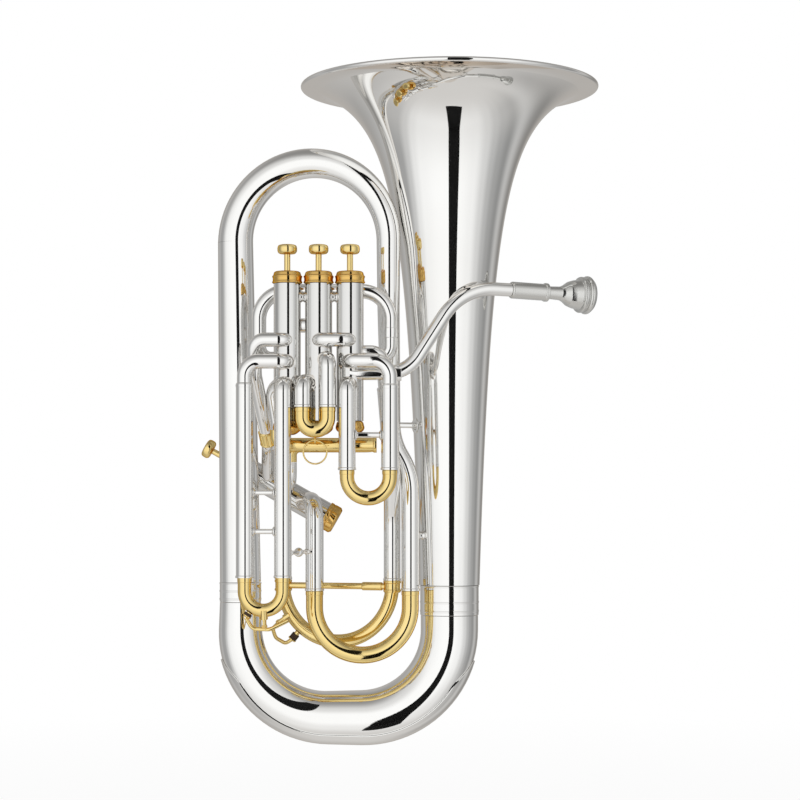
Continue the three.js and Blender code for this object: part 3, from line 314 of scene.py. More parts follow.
def ring_at(spot, frame_pair, radius, sides):
    up, side = frame_pair
    turns = (2 * pi * i / sides for i in range(sides))
    return [spot + up * (radius * cos(a)) + side * (radius * sin(a)) for a in turns]


def tube(corners, radius, sides=TUBE_SIDES, bore=None, start_on=None, end_on=None):
    """A round tube along a route. start_on and end_on give the valve whose casing an end is shaped to."""
    radius_at = radius if callable(radius) else (lambda share: radius)
    stations = stations_of(corners)
    shares = shares_of(stations)
    pairs = frames_of(stations)
    rings = [ring_at(s[0], f, radius_at(q), sides) for s, f, q in zip(stations, pairs, shares)]
    if start_on:
        rings[0] = saddle(rings[0], stations[0][1], *casing_axis(start_on))
    if end_on:
        rings[-1] = saddle(rings[-1], -stations[-1][1], *casing_axis(end_on))
    if bore:
        end, along = stations[-1]
        bore_radius, depth = bore
        rings.append(ring_at(end, pairs[-1], bore_radius, sides))
        rings.append(ring_at(end - along * depth, pairs[-1], bore_radius, sides))
    return loft(rings)


def saddle(ring, outward, axis_point, axis):
    """Slides each point of a ring along outward until it lies on the casing wall."""
    wall = CASING.radius - SADDLE_DEPTH
    flat = outward - axis * outward.dot(axis)
    found = []
    for p in ring:
        arm = p - axis_point
        arm = arm - axis * arm.dot(axis)
        half = arm.dot(flat)
        inside = half * half - flat.length_squared * (arm.length_squared - wall * wall)
        reach = (-half + sqrt(max(inside, 0))) / flat.length_squared
        found.append(p + outward * reach)
    return found


def rod(start, end, radius, sides=TUBE_SIDES):
    return tube([(Vector(start), 0), (Vector(end), 0)], radius, sides)


def taper(low, high):
    return lambda share: low + (high - low) * share


# Turned pieces, whose outline is a list of radius and height
def softened(outline, radius=EDGE, steps=5):
    """Rounds the inner corners of an open outline."""
    spots = [Vector(p) for p in outline]
    found = [spots[0]]
    for before, here, after in zip(spots, spots[1:], spots[2:]):
        back, ahead = before - here, after - here
        reach = min(radius, back.length * EDGE_SHARE, ahead.length * EDGE_SHARE)
        a, b = here + back.normalized() * reach, here + ahead.normalized() * reach
        for i in range(steps + 1):
            t = i / steps
            found.append(a * (1 - t) ** 2 + here * (2 * t * (1 - t)) + b * t * t)
    found.append(spots[-1])
    return [tuple(p) for p in found]


def turned(outline, sides=TURNED_SIDES, looped=False):
    turns = [2 * pi * i / sides for i in range(sides)]
    rings = [[Vector((r * cos(a), r * sin(a), z)) for a in turns] for r, z in outline]
    return loft(rings, looped)


def turned_at(outline, spot, edge=EDGE):
    return moved(turned(softened(outline, edge)), spot)


def turned_along(outline, start, direction, edge=EDGE, sides=TURNED_SIDES):
    return set_along(turned(softened(outline, edge), sides), start, direction)


def drum(radius, length):
    return [(0, 0), (radius, 0), (radius, length), (0, length)]


# Bell
def flare_length():
    narrowing = (BELL_TAIL.radius / BELL.radius) ** 2
    return (BELL.height - BELL_TAIL.z) * narrowing / (1 - narrowing)


def bell_radius_at(z):
    return BELL.radius * sqrt(flare_length() / (BELL.height - z + flare_length()))


def bell_inner_point(point):
    radius, z = point
    slope = radius / (2 * (BELL.height - z + flare_length()))
    run = hypot(1, slope)
    return (radius - BELL.wall / run, z + BELL.wall * slope / run)


def bell_heights(top):
    shares = (1 - (1 - i / BELL_STEPS) ** BELL_STEP_POWER for i in range(BELL_STEPS + 1))
    return [BELL_TAIL.z + (top - BELL_TAIL.z) * share for share in shares]


def bell():
    bead = BELL.rim_bead
    lip = BELL.height - 3 * bead
    outer = [(bell_radius_at(z), z) for z in bell_heights(lip)]
    inner = [bell_inner_point(point) for point in outer]
    centre = (BELL.radius - bead, BELL.height - bead)
    turns = [radians(a) for a in range(-110, 111, 20)]
    rim = [(centre[0] + bead * cos(a), centre[1] + bead * sin(a)) for a in turns]
    return moved(turned(outer + rim + inner[::-1], BELL_SIDES, looped=True), (BELL.x, 0, 0))


def ferrule(sizes, top, x):
    bottom, radius = sizes.bottom, sizes.radius
    outline = [(0, bottom), (radius, bottom)]
    for height in sizes.rings:
        middle = bottom + height
        outline += [(radius, middle - FERRULE.band), (radius + FERRULE.rise, middle)]
        outline.append((radius, min(middle + FERRULE.band, top)))
    outline.append((0, top))
    return turned_at(outline, (x, 0, 0), FERRULE.edge)


def bow_corners():
    top, foot = BELL_FERRULE.bottom - GAP, BRANCH_FERRULE.bottom - GAP
    return [
        at(BELL.x, 0, top),
        at(BELL.x, 0, BOW.z, BOW.bend),
        at(BRANCH_FOOT_X, 0, BOW.z, BOW.bend),
        at(BRANCH_FOOT_X, 0, foot),
    ]


def bow_radius_at(share):
    return BOW.start_radius + (BOW.end_radius - BOW.start_radius) * share**BOW.taper_power


def bow_guard():
    """A plate over the outer side of the bow, as arcs of its section between two front edges."""
    stations = stations_of(bow_corners())
    steps = GUARD.steps
    rings = []
    for (spot, along), share in zip(stations, shares_of(stations)):
        depth = GUARD.top - spot.z
        if depth < 0:
            continue
        radius = bow_radius_at(share)
        fade = sqrt(min(1, max(GUARD.least, depth / GUARD.fade)))
        half = acos((radius - GUARD.band) / radius) * fade
        out = Vector((-along.z, 0, along.x))
        ring = []
        for r, sign in ((radius + GAP + GUARD.thickness, 1), (radius + GAP, -1)):
            for i in range(steps + 1):
                a = sign * half * (2 * i / steps - 1)
                ring.append(spot + out * (r * cos(a)) + ALONG_Y * (r * sin(a)))
        rings.append(ring)
    return loft(rings)


def outer_branch():
    foot = at(BRANCH_FOOT_X, 0, BRANCH_FERRULE.top + GAP)
    head = at(BRANCH_TOP.x, 0, BRANCH_TOP.z)
    return tube([foot, head], taper(BOW.end_radius, BRANCH_TOP.radius), SMOOTH_SIDES)


def top_bow():
    foot, end = BRANCH_TOP, TOP_BOW_END
    bend = Vector((end.x - foot.x, end.y, 0)).length / 2
    top = foot.z + bend
    corners = [at(foot.x, 0, foot.z), at(foot.x, 0, top, bend)]
    corners += [at(end.x, end.y, top, bend), at(end.x, end.y, foot.z)]
    return tube(corners, taper(foot.radius, end.radius), TOP_BOW_SIDES)


def inner_branch():
    c, end = INNER_BRANCH, (MAIN_SLIDE.right, MAIN_Y, MAIN_SLIDE.end)
    x, y, bend = TOP_BOW_END.x, TOP_BOW_END.y, c.bend
    corners = [
        at(x, y, BRANCH_TOP.z),
        at(x, y, c.top, bend),
        at(x, c.y, c.upper, bend),
        at(BELL_BRACE.start.x, c.y, c.lower, bend),
        at(MAIN_SLIDE.right, MAIN_Y, c.foot, bend),
        at(*end),
    ]
    slope = taper(TOP_BOW_END.radius, MAIN_SLIDE.leg)
    bore = (MAIN_SLIDE.leg - SLIDE_WALL, MAIN_SLIDE.reaches[1] + GAP)
    pipe = tube(corners, lambda share: max(MAIN_SLIDE.leg, slope(share / c.taper_end)), LEG_SIDES, bore)
    return joined(pipe, lip_on(end, MAIN_SLIDE.leg))


# Slide legs
def lip_on(end, leg_radius):
    bore, outer, height = leg_radius - SLIDE_WALL, leg_radius + SLIDE_LIP.rise, SLIDE_LIP.height
    outline = [(bore, 0), (outer, 0), (outer, height), (leg_radius - 0.1, height + 0.5)]
    rounded = [*softened(outline, SLIDE_LIP.edge), (bore, height)]
    return moved(turned(rounded, looped=True), end)


def bored_leg(corners, end, leg_radius, reach, start_on=None):
    bore = (leg_radius - SLIDE_WALL, reach + GAP)
    pipe = tube([*corners, at(*end)], leg_radius, LEG_SIDES, bore, start_on)
    return joined(pipe, lip_on(end, leg_radius))


def valve_x(number):
    return FIRST_VALVE_X - (number - 1) * VALVE_SPACING


def casing_axis(number):
    if number == 4:
        return SIDE_VALVE.foot, side_valve_axis()
    return Vector((valve_x(number), VALVE_Y, VALVE_FOOT_Z)), UP


def port(number, z, y=VALVE_Y, bend=0):
    return at(valve_x(number), y, z, bend)


def elbow_leg(number, x, port_shift, port_z, slide):
    corners = [at(valve_x(number) + port_shift, VALVE_Y, port_z), at(x, SLIDE_Y, port_z, KNUCKLE.bend)]
    return bored_leg(corners, (x, SLIDE_Y, slide.end), SLIDE_LEG_RADIUS, slide.reach, number)


def knuckle_leg(number, x, bend, port_z, slide):
    joint_z = port_z - KNUCKLE.drop * bend
    corners = [
        port(number, port_z),
        port(number, port_z, SLIDE_Y, KNUCKLE.bend),
        at(x, SLIDE_Y, port_z, bend),
        at(x, SLIDE_Y, port_z - KNUCKLE.lap * bend),
    ]
    knuckle = tube(corners, KNUCKLE.radius, start_on=number)
    leg_top, end = at(x, SLIDE_Y, joint_z), (x, SLIDE_Y, slide.end)
    leg = bored_leg([leg_top], end, SLIDE_LEG_RADIUS, slide.reach)
    return joined(knuckle, leg, turned_at(KNUCKLE_JOINT, (x, SLIDE_Y, joint_z)))


def leg_rod(slide, z, radius):
    foot, neck, flare = LEG_ROD.foot, LEG_ROD.neck, radius * LEG_ROD.flare
    inset = SLIDE_LEG_RADIUS - SLIDE_WALL / 2
    left, right = slide.left + inset, slide.right - inset
    length = right - left
    outline = [(0, 0), (flare, 0), (flare, foot), (radius, neck), (radius, length - neck)]
    outline += [(flare, length - foot), (flare, length), (0, length)]
    return turned_along(outline, (left, SLIDE_Y, z), ALONG_X, LEG_ROD.edge, TUBE_SIDES)


def slide_legs(number, slide, ports, elbow_x, knuckle_x):
    """The legs of the first or third slide, one out of an elbow and one out of a knuckle, and their rods."""
    elbow = elbow_leg(number, elbow_x, 0, ports.elbow, slide)
    knuckle = knuckle_leg(number, knuckle_x, ports.bend, ports.knuckle, slide)
    rods = [leg_rod(slide, z, ports.rod_radius) for z in ports.rods]
    return joined(elbow, knuckle, *rods)


def second_slide_leg(x, port_z):
    return elbow_leg(2, x, (x - valve_x(2)) / 2, port_z, SECOND_SLIDE)


# Slide crooks
def inner_leg(spot, top, reach, leg_radius):
    start, end = spot + UP * (top - LEG_SINK), spot + UP * (top + reach)
    return rod(start, end, leg_radius - SLIDE_WALL - RUNNING_CLEARANCE, CROOK_SIDES)


def crook_bend(left, right, low_z, top_z, radius):
    half = (right - left).length / 2
    start_z = max(top_z, low_z + half + GAP)
    corners = [
        at(left.x, left.y, start_z),
        at(left.x, left.y, low_z, half),
        at(right.x, right.y, low_z, half),
        at(right.x, right.y, start_z),
    ]
    return tube(corners, radius, CROOK_SIDES)


def crook_ring(spot, top, radius):
    height = CROOK_RING.height
    return turned_at(drum(radius, height), (spot.x, spot.y, top - height))


def plain_crook(slide, spots, leg_radius, reaches):
    """A crook with its two inner legs, without rings."""
    top = slide.end - GAP
    legs = [inner_leg(spot, top, reach, leg_radius) for spot, reach in zip(spots, reaches)]
    return joined(crook_bend(*spots, slide.low, top, slide.crook), *legs)


def ringed_crook(slide, y, leg_radius, reaches, rise):
    spots = [Vector((x, y, 0)) for x in (slide.left, slide.right)]
    rings = [crook_ring(spot, slide.end - GAP, slide.crook + rise) for spot in spots]
    return joined(plain_crook(slide, spots, leg_radius, reaches), *rings)


def slide_crook(slide):
    return ringed_crook(slide, SLIDE_Y, SLIDE_LEG_RADIUS, (slide.reach, slide.reach), CROOK_RING.rise)


def main_slide_crook():
    return ringed_crook(MAIN_SLIDE, MAIN_Y, MAIN_SLIDE.leg, MAIN_SLIDE.reaches, CROOK_RING.main_rise)


def fourth_spot(x):
    share = (x - FOURTH_LEFT.x) / (FOURTH_RIGHT.x - FOURTH_LEFT.x)
    return FOURTH_LEFT.lerp(FOURTH_RIGHT, share) + UP * FOURTH_ROD.z


def fourth_collar(spot):
    c = FOURTH_COLLAR
    radius, waist, height = c.radius, c.waist, c.height
    outline = [(0, 0), (waist, 0), (waist, 0.8), (radius, 1), (radius, 2.6), (waist, 3)]
    outline += [(waist, height - 2.6), (radius, height - 2.2), (radius, height), (0, height)]
    return turned_at(outline, (spot.x, spot.y, FOURTH_SLIDE.end - GAP - height), FINE_EDGE)


def fourth_crook():
    spots = (FOURTH_LEFT, FOURTH_RIGHT)
    crook = plain_crook(FOURTH_SLIDE, spots, FOURTH_SLIDE.leg, FOURTH_SLIDE.reaches)
    stay = rod(fourth_spot(FOURTH_LEFT.x), fourth_spot(FOURTH_RIGHT.x), FOURTH_ROD.radius)
    start, end = fourth_spot(FOURTH_ROD.from_x), fourth_spot(FOURTH_ROD.to_x)
    bar = drum(FOURTH_ROD.sleeve, (end - start).length)
    sleeve = turned_along(bar, start, end - start, FOURTH_ROD.edge, CROOK_SIDES)
    return joined(crook, stay, sleeve, *(fourth_collar(spot) for spot in spots))


# Valves, built along Z from the casing foot
def side_valve_axis():
    return Vector((-cos(SIDE_VALVE.tilt), 0, sin(SIDE_VALVE.tilt)))


def at_valve(number, mesh):
    return set_along(mesh, *casing_axis(number))


def casing(length):
    radius, bore = CASING.radius, CASING.bore
    outline = [(bore, 0), (radius, 0), (radius, length), (bore, length)]
    return turned(outline, SMOOTH_SIDES, looped=True)


def top_cap(length):
    c = TOP_CAP
    low, band, radius = length + GAP, length + c.band_top, c.radius
    top, neck, hole = length + c.top, c.neck, c.hole
    outline = [(hole, low), (radius - 1, low), (radius, low + 0.8), (radius, low + 1.6)]
    outline += [(radius - 0.5, low + 2.2), (radius - 0.8, (low + band) / 2), (radius - 0.5, band - 1.6)]
    outline += [(radius, band - 1), (radius - 0.3, band), (neck + 0.2, band + 0.3), (neck - 0.7, top - 1)]
    outline += [(neck - 2, top), (hole + 2.6, top), (hole + 2.4, top - 0.7), (hole, top - 0.7)]
    return turned(softened(outline, c.edge), looped=True)


def bottom_cap():
    radius, height, bevel = BOTTOM_CAP.radius, BOTTOM_CAP.height, BOTTOM_CAP.bevel
    outline = [(0, -height), (radius - bevel, -height), (radius, bevel - height), (radius, -5.2)]
    outline += [(radius - 0.5, -4.8), (radius - 0.5, -4.2), (radius, -3.8), (radius, -GAP), (0, -GAP)]
    return turned(softened(outline, BOTTOM_CAP.edge), SMOOTH_SIDES)


def round_bottom_cap():
    radius, height, bevel = BOTTOM_CAP.radius, BOTTOM_CAP.height, BOTTOM_CAP.bevel
    outline = [(0, -height), (radius - 3 * bevel, -height), (radius - bevel / 2, 2 * bevel - height)]
    outline += [(radius, -height / 2), (radius - bevel / 2, -bevel), (radius - bevel, -GAP), (0, -GAP)]
    return turned(softened(outline, BOTTOM_CAP.round, BOTTOM_CAP.round_steps), SMOOTH_SIDES)


def piston(length):
    radius, stem = PISTON.radius, PISTON.stem
    top = length + BUTTON.foot - GAP
    shoulder, neck = length - PISTON.shoulder, length - PISTON.neck
    outline = [(0, PISTON.foot), (radius, PISTON.foot), (radius, shoulder), (stem, neck)]
    outline += [(stem, top - 1), (stem, top), (0, top)]
    return turned(softened(outline))


def button(length):
    radius, bevel = BUTTON.radius, BUTTON.bevel
    low, high = length + BUTTON.foot, length + BUTTON.top
    outline = [(0, low), (radius - 1.8, low), (radius, low + 2.2), (radius, high - bevel)]
    outline += [(radius - 0.8, high - 0.8), (radius - bevel, high), (0, high)]
    return turned(softened(outline, BUTTON.edge), SMOOTH_SIDES)


def side_valve_spot(x):
    rise = (SIDE_VALVE.foot.x - x) * tan(SIDE_VALVE.tilt)
    return Vector((x, SIDE_VALVE.foot.y, SIDE_VALVE.foot.z + rise))


def side_valve_leg(slide, x, y, elbow):
    """The left leg of a slide that hangs from the side valve."""
    corners = [(side_valve_spot(elbow.port_x), 0), at(x, y, elbow.z, elbow.bend)]
    return bored_leg(corners, (x, y, slide.end), slide.leg, slide.reaches[0], 4)


def fourth_slide_right_leg():
    k, w = FOURTH_KNUCKLE, FOURTH_WAIST
    x, y, _ = FOURTH_RIGHT
    corner = Vector((k.x, k.y, k.z))
    waist = Vector((x, w.y, w.z))
    leg_top = corner.lerp(waist, w.leg_share)
    knuckle = [at(valve_x(1), k.y, k.z), (corner, k.bend), (leg_top.lerp(waist, k.lap), 0)]
    slope = [(leg_top, 0), (waist, w.bend), at(x, y, w.foot_z, w.foot_bend)]
    leg = bored_leg(slope, (x, y, FOURTH_SLIDE.end), FOURTH_SLIDE.leg, FOURTH_SLIDE.reaches[1])
    collar = turned_along(FOURTH_JOINT, leg_top, corner - waist)
    return joined(tube(knuckle, k.radius, start_on=1), leg, collar)


# Fixed tubes
def tube_joint(sizes, spot, direction):
    """The sleeve where two lengths of a fixed tube meet."""
    core, radius, half = sizes.core, sizes.radius, TUBE_JOINT.half
    outline = [(core, -half), (radius, -half), (TUBE_JOINT.bead, 1 - half), (radius, half), (core, half)]
    return turned_along(outline, spot, direction)


def arch_tube():
    y, feet, bend = ARCH.y, ARCH_FEET, KNUCKLE.bend
    corners = [port(3, feet.left), port(3, feet.left, y, bend), at(ARCH.left, y, feet.left, feet.bend)]
    corners += [at(x, y, ARCH.top, ARCH.bend) for x in (ARCH.left, ARCH.right)]
    corners += [at(ARCH.right, y, feet.right, feet.bend), port(1, feet.right, y, bend), port(1, feet.right)]
    pipe = tube(corners, ARCH.radius, start_on=3, end_on=1)
    return joined(pipe, tube_joint(ARCH_JOINT, (ARCH.right, y, ARCH_JOINT.z), UP))


def crossover(right, left, y, z):
    bend = CROSSOVER.bend
    corners = [port(left, z), port(left, z, y, bend), port(right, z, y, bend), port(right, z)]
    return tube(corners, CROSSOVER.radius, LEG_SIDES, start_on=left, end_on=right)


def fourth_valve_inlet():
    c = CROSSOVER
    corners = [port(3, c.front_z), port(3, c.front_z, c.front_y, c.bend)]
    corners += [(Vector(spot), bend) for spot, bend in FOURTH_INLET.corners]
    corners.append((side_valve_spot(FOURTH_INLET.port_x), 0))
    return tube(corners, FOURTH_INLET.radius, start_on=3, end_on=4)


def inlet_collar():
    """The gold sleeve of the fourth valve inlet, on its sloping stretch."""
    c = INLET_COLLAR
    radius, bead, length = c.radius, c.bead, c.length
    a, b = (Vector(spot) for spot, _ in FOURTH_INLET.corners[1:])
    outline = [(c.core, 0), (radius, 0), (bead, 0.8), (radius, 1.6), (radius, length - 1.6)]
    outline += [(bead, length - 0.8), (radius, length)]
    rounded = [*softened(outline, c.edge), (c.core, length)]
    return set_along(turned(rounded, looped=True), a.lerp(b, c.share), b - a)


def third_comp_bend():
    c = COMP_BEND
    corners = [port(3, c.top), at(c.x, c.y, c.top, c.bend)]
    corners += [(COMP_END + UP * c.radius, c.end_bend), (COMP_END, 0)]
    return tube(corners, c.radius, start_on=3)


def return_crook():
    c = RETURN_CROOK
    turn = (c.rear_y - COMP_END.y) / 2
    corners = [
        (COMP_END - UP * GAP, 0),
        at(COMP_END.x, COMP_END.y, c.z, c.elbow),
        at(c.turn_x, COMP_END.y, c.z, turn),
        at(c.turn_x, c.rear_y, c.z, turn),
        at(c.down_x, c.rear_y, c.z, turn),
        at(c.down_x, c.rear_y, RETURN_INLET.top + GAP),
    ]
    radius, lip, length = c.radius, RETURN_STUB.lip, RETURN_STUB.length
    stub = [(0, 0), (radius, 0), (radius, length - 3.4), (lip, length - 3), (lip, length), (0, length)]
    stub_foot = (c.turn_x + radius - length, COMP_END.y, c.z)
    return joined(tube(corners, radius), turned_along(stub, stub_foot, ALONG_X))


def return_inlet():
    c, x, y = RETURN_INLET, RETURN_CROOK.down_x, RETURN_CROOK.rear_y
    corners = [at(x, y, c.top), at(x, y, c.corner, c.bend), (side_valve_spot(c.port_x), 0)]
    return tube(corners, RETURN_CROOK.radius, end_on=4)


# Mouthpipe
def leadpipe():
    pipe = LEADPIPE
    bends = [(Vector(spot), bend) for spot, bend in pipe.corners]
    mesh = tube([(pipe.start, 0), *bends, (pipe.end, 0)], taper(*pipe.radii), CROOK_SIDES, end_on=1)
    joint_spot = (LEADPIPE_JOINT.x, pipe.end.y, pipe.end.z)
    return joined(mesh, tube_joint(LEADPIPE_JOINT, joint_spot, ALONG_X))


def receiver_axis():
    level = cos(RECEIVER_WAY.droop)
    x, y = level * cos(RECEIVER_WAY.turn), level * sin(RECEIVER_WAY.turn)
    return Vector((x, y, -sin(RECEIVER_WAY.droop)))


def receiver_foot():
    return LEADPIPE.start + receiver_axis() * GAP


def receiver():
    r = RECEIVER
    length, radius = r.length, r.radius
    outline = [(0, 0), (radius - 1.1, 0), (radius, 1.6), (radius, length - 4), (r.ring, length - 3)]
    outline += [(r.ring, length), (r.bore, length), (r.bore, length - r.depth), (0, length - r.depth)]
    return turned_along(outline, receiver_foot(), receiver_axis())


def mouthpiece():
    m = MOUTHPIECE
    length = RECEIVER.length
    cup, cup_end, rim_end, rim = m.cup, m.cup_end, m.rim_end, m.rim
    outline = [(4.4, m.foot), (m.shank - 0.3, m.foot), (m.shank, length), (6.9, cup - 1)]
    outline += [(8.6, cup + 2.6), (12.2, cup + 7.6), (14, cup + 13), (14.9, cup_end - 1.6)]
    outline += [(15.2, cup_end), (17.4, cup_end + 0.6), (18.2, cup_end + 2), (18, cup_end + 4.4)]
    outline += [(16.6, cup_end + 5), (16.6, cup_end + 6), (18, cup_end + 6.4), (rim, cup_end + 8.2)]
    outline += [(rim, rim_end - 3.4), (rim - 3, rim_end), (14.8, rim_end), (12.7, rim_end - 2.4)]
    outline += [(11, cup_end - 2.2), (6, cup + 9), (2.4, cup + 5.6)]
    rounded = softened([*outline, outline[0]], MOUTHPIECE_EDGE.radius, MOUTHPIECE_EDGE.steps)
    return set_along(turned(rounded, SMOOTH_SIDES, looped=True), receiver_foot(), receiver_axis())


# Braces
def bell_brace(brace):
    start, flange = brace.start, brace.flange
    end = Vector((BELL.x, 0, start.z))
    reach = (end - start).length - bell_radius_at(start.z)
    radius, sink = BRACE.rod, BRACE.sink
    outline = [(0, 0), (radius, 0), (radius, reach - 3.4), (flange - 2, reach - 1.4)]
    outline += [(flange, reach - sink), (flange, reach + sink), (0, reach + sink)]
    return turned_along(outline, start, end - start, BRACE.edge)


def lower_bell_brace():
    b = LOWER_BRACE
    z, radius = b.z, b.radius
    start, end = Vector((MAIN_SLIDE.right, MAIN_Y, z)), Vector((BELL.x, 0, z))
    way = (end - start).normalized()
    near = start + way * (MAIN_SLIDE.leg - b.leg_sink)
    far = end - way * (bell_radius_at(z) - b.bell_sink)
    length = (far - near).length
    outline = [(0, 0), (radius, 0), (b.waist, length / 2), (radius, length), (0, length)]
    return turned_along(outline, near, way, b.edge)


def casing_brace(right, left):
    b = CASING_BRACE
    radius, inset = b.radius, CASING.radius - b.sink
    low, high = valve_x(left) + inset, valve_x(right) - inset
    length = high - low
    outline = [(0, 0), (radius, 0), (radius, 1), (b.waist, length / 2), (radius, length - 1)]
    outline += [(radius, length), (0, length)]
    return turned_along(outline, (low, VALVE_Y, b.z), ALONG_X, b.edge, CROOK_SIDES)


def ball_brace():
    b = BALL_BRACE
    ball, flange, stem, edge = b.ball, b.flange, b.rod, b.edge
    start = Vector((THIRD_SLIDE.right + b.aside, SLIDE_Y, b.z))
    end = Vector((MAIN_SLIDE.left - b.aside, MAIN_Y, b.z))
    low = sqrt(SLIDE_LEG_RADIUS**2 - b.aside**2) - b.sink
    high = (end - start).length - sqrt(MAIN_SLIDE.leg**2 - b.aside**2) + b.sink
    middle = (low + high) / 2
    turns = [radians(a) for a in range(-60, 61, 15)]
    globe = [(ball * cos(a), middle + ball * sin(a)) for a in turns]
    head = [(0, low), (flange, low), (flange, low + 1.6), (stem, low + 4), (stem, middle - 5)]
    tail = [(stem, middle + 5), (stem, high - 4), (flange, high - 1.6), (flange, high), (0, high)]
    outline = [*softened(head, edge), *globe, *softened(tail, edge)]
    return set_along(turned(outline, LEG_SIDES), start, end - start)


# Pull ring and eye of the second slide
def torus(centre, radius, wire, axis, steps=72, sides=20):
    rings = []
    normal = Vector(axis)
    across = normal.orthogonal().normalized()
    for i in range(steps):
        arm = Quaternion(normal, 2 * pi * i / steps) @ across
        ring = []
        for k in range(sides):
            a = 2 * pi * k / sides
            ring.append(centre + arm * (radius + wire * cos(a)) + normal * (wire * sin(a)))
        rings.append(ring)
    return loft(rings, looped=True)


def eye_centre():
    z = SECOND_SLIDE.low - SECOND_SLIDE.crook - PULL_RING.eye
    return Vector(((SECOND_SLIDE.left + SECOND_SLIDE.right) / 2, SLIDE_Y, z))


def second_slide_crook():
    eye = torus(eye_centre(), PULL_RING.eye, PULL_RING.eye_wire, ALONG_X, TUBE_SIDES)
    return joined(slide_crook(SECOND_SLIDE), eye)


def pull_ring():
    centre = eye_centre() - UP * PULL_RING.radius
    return torus(centre, PULL_RING.radius, PULL_RING.wire, ALONG_Y)


# Water keys, laid out in the plane of their crook from its bend centre
def third_key_plane():
    radius = (THIRD_SLIDE.right - THIRD_SLIDE.left) / 2
    centre = Vector((THIRD_SLIDE.left + radius, SLIDE_Y, THIRD_SLIDE.low + radius))
    return Sizes(centre=centre, run=ALONG_X, surface=radius + THIRD_SLIDE.crook)


def fourth_key_plane():
    span = FOURTH_RIGHT - FOURTH_LEFT
    radius = span.length / 2
    centre = FOURTH_LEFT + span / 2 + UP * (FOURTH_SLIDE.low + radius)
    return Sizes(centre=centre, run=span.normalized(), surface=radius + FOURTH_SLIDE.crook)


def in_plane(plane, along, rise, aside=0):
    across = plane.run.cross(UP)
    return plane.centre + plane.run * along + across * aside + UP * rise


def key_pin(plane, key, radius, half_length):
    along, rise = key.hinge
    start, end = (in_plane(plane, along, rise, aside) for aside in (-half_length, half_length))
    return turned_along(drum(radius, 2 * half_length), start, end - start, FINE_EDGE, PIN_SIDES)


def nipple_spot(plane, key, distance):
    along, rise = key.nipple
    reach = distance / hypot(along, rise)
    return in_plane(plane, along * reach, rise * reach)


def water_key(plane, key):
    k = WATER_KEY
    corners = [(in_plane(plane, along, rise), bend) for along, rise, bend in key.lever]
    arm = tube(corners, k.lever, k.sides)
    foot = plane.surface + key.rise + GAP + KEY_CORK.stand
    height = k.pad_height - KEY_CORK.stand
    start, end = nipple_spot(plane, key, foot), nipple_spot(plane, key, foot + height)
    cup = [(0, 0), (k.pad, 0), (k.pad, height * 0.6), (k.pad * 0.5, height), (0, height)]
    cap = turned_along(cup, start, end - start, k.edge, TUBE_SIDES)
    hub = key_pin(plane, key, k.barrel, KEY_HALF_WIDTH - GAP)
    pin = key_pin(plane, key, k.pin, KEY_HALF_WIDTH + 2 * KEY_POST.aside)
    return joined(arm, cap, hub, pin)


def key_cork(plane, key):
    foot = plane.surface + key.spout + GAP
    deep = key.rise - key.spout + KEY_CORK.stand + KEY_CORK.sink
    start, end = nipple_spot(plane, key, foot), nipple_spot(plane, key, foot + deep)
    block = drum(WATER_KEY.pad - KEY_CORK.inset, deep)
    return turned_along(block, start, end - start, sides=TUBE_SIDES)


def key_seat(plane, key):
    """The spout that the cork closes, and the two posts with eyes that hold the pin."""
    inset = plane.surface - THIRD_SLIDE.crook
    top = plane.surface + key.spout
    spout = rod(nipple_spot(plane, key, inset), nipple_spot(plane, key, top), WATER_KEY.nipple, PIN_SIDES)
    along, rise = key.hinge
    distance = hypot(along, rise)
    low, high = inset / distance, (distance - WATER_KEY.pin - GAP) / distance
    across = plane.run.cross(UP)
    posts = []
    for side in (-1, 1):
        aside = side * (KEY_HALF_WIDTH + KEY_POST.aside)
        start = in_plane(plane, along * low, rise * low, aside)
        end = in_plane(plane, along * high, rise * high, aside)
        posts.append(rod(start, end, KEY_POST.rod, POST_SIDES))
        posts.append(rod(start, start.lerp(end, key.base_share), KEY_POST.base, PIN_SIDES))
        eye = in_plane(plane, along, rise, aside)
        posts.append(torus(eye, KEY_POST.eye, KEY_POST.wire, across, PIN_SIDES, KEY_POST.wire_sides))
    return joined(spout, *posts)


# Materials
def feed(socket, value):
    """Gives a socket a plain value, or links another node's output to it."""
    if isinstance(value, bpy.types.NodeSocket):
        socket.id_data.links.new(value, socket)
    else:
        socket.default_value = value


def fill(made, **inputs):
    for name, value in inputs.items():
        feed(made.inputs[name.replace("_", " ")], value)


def node(tree, kind, **inputs):
    made = tree.nodes.new("ShaderNode" + kind)
    fill(made, **inputs)
    return made


def colour_ramp(tree, share, stops, interpolation="LINEAR"):
    made = node(tree, "ValToRGB", Fac=share)
    made.color_ramp.interpolation = interpolation
    elements = made.color_ramp.elements
    while len(elements) < len(stops):
        elements.new(0.5)
    for element, (place, colour) in zip(elements, stops):
        element.position = place
        element.color = (*colour, 1)
    return made.outputs["Color"]


def noise(tree, place, scale, detail, roughness):
    made = node(tree, "TexNoise", Vector=place, Scale=scale, Detail=detail, Roughness=roughness)
    return made.outputs["Fac"]


def fresh_material(name):
    material = bpy.data.materials.new(name)
    material.use_nodes = True
    tree = material.node_tree
    return material, tree, tree.nodes["Principled BSDF"]


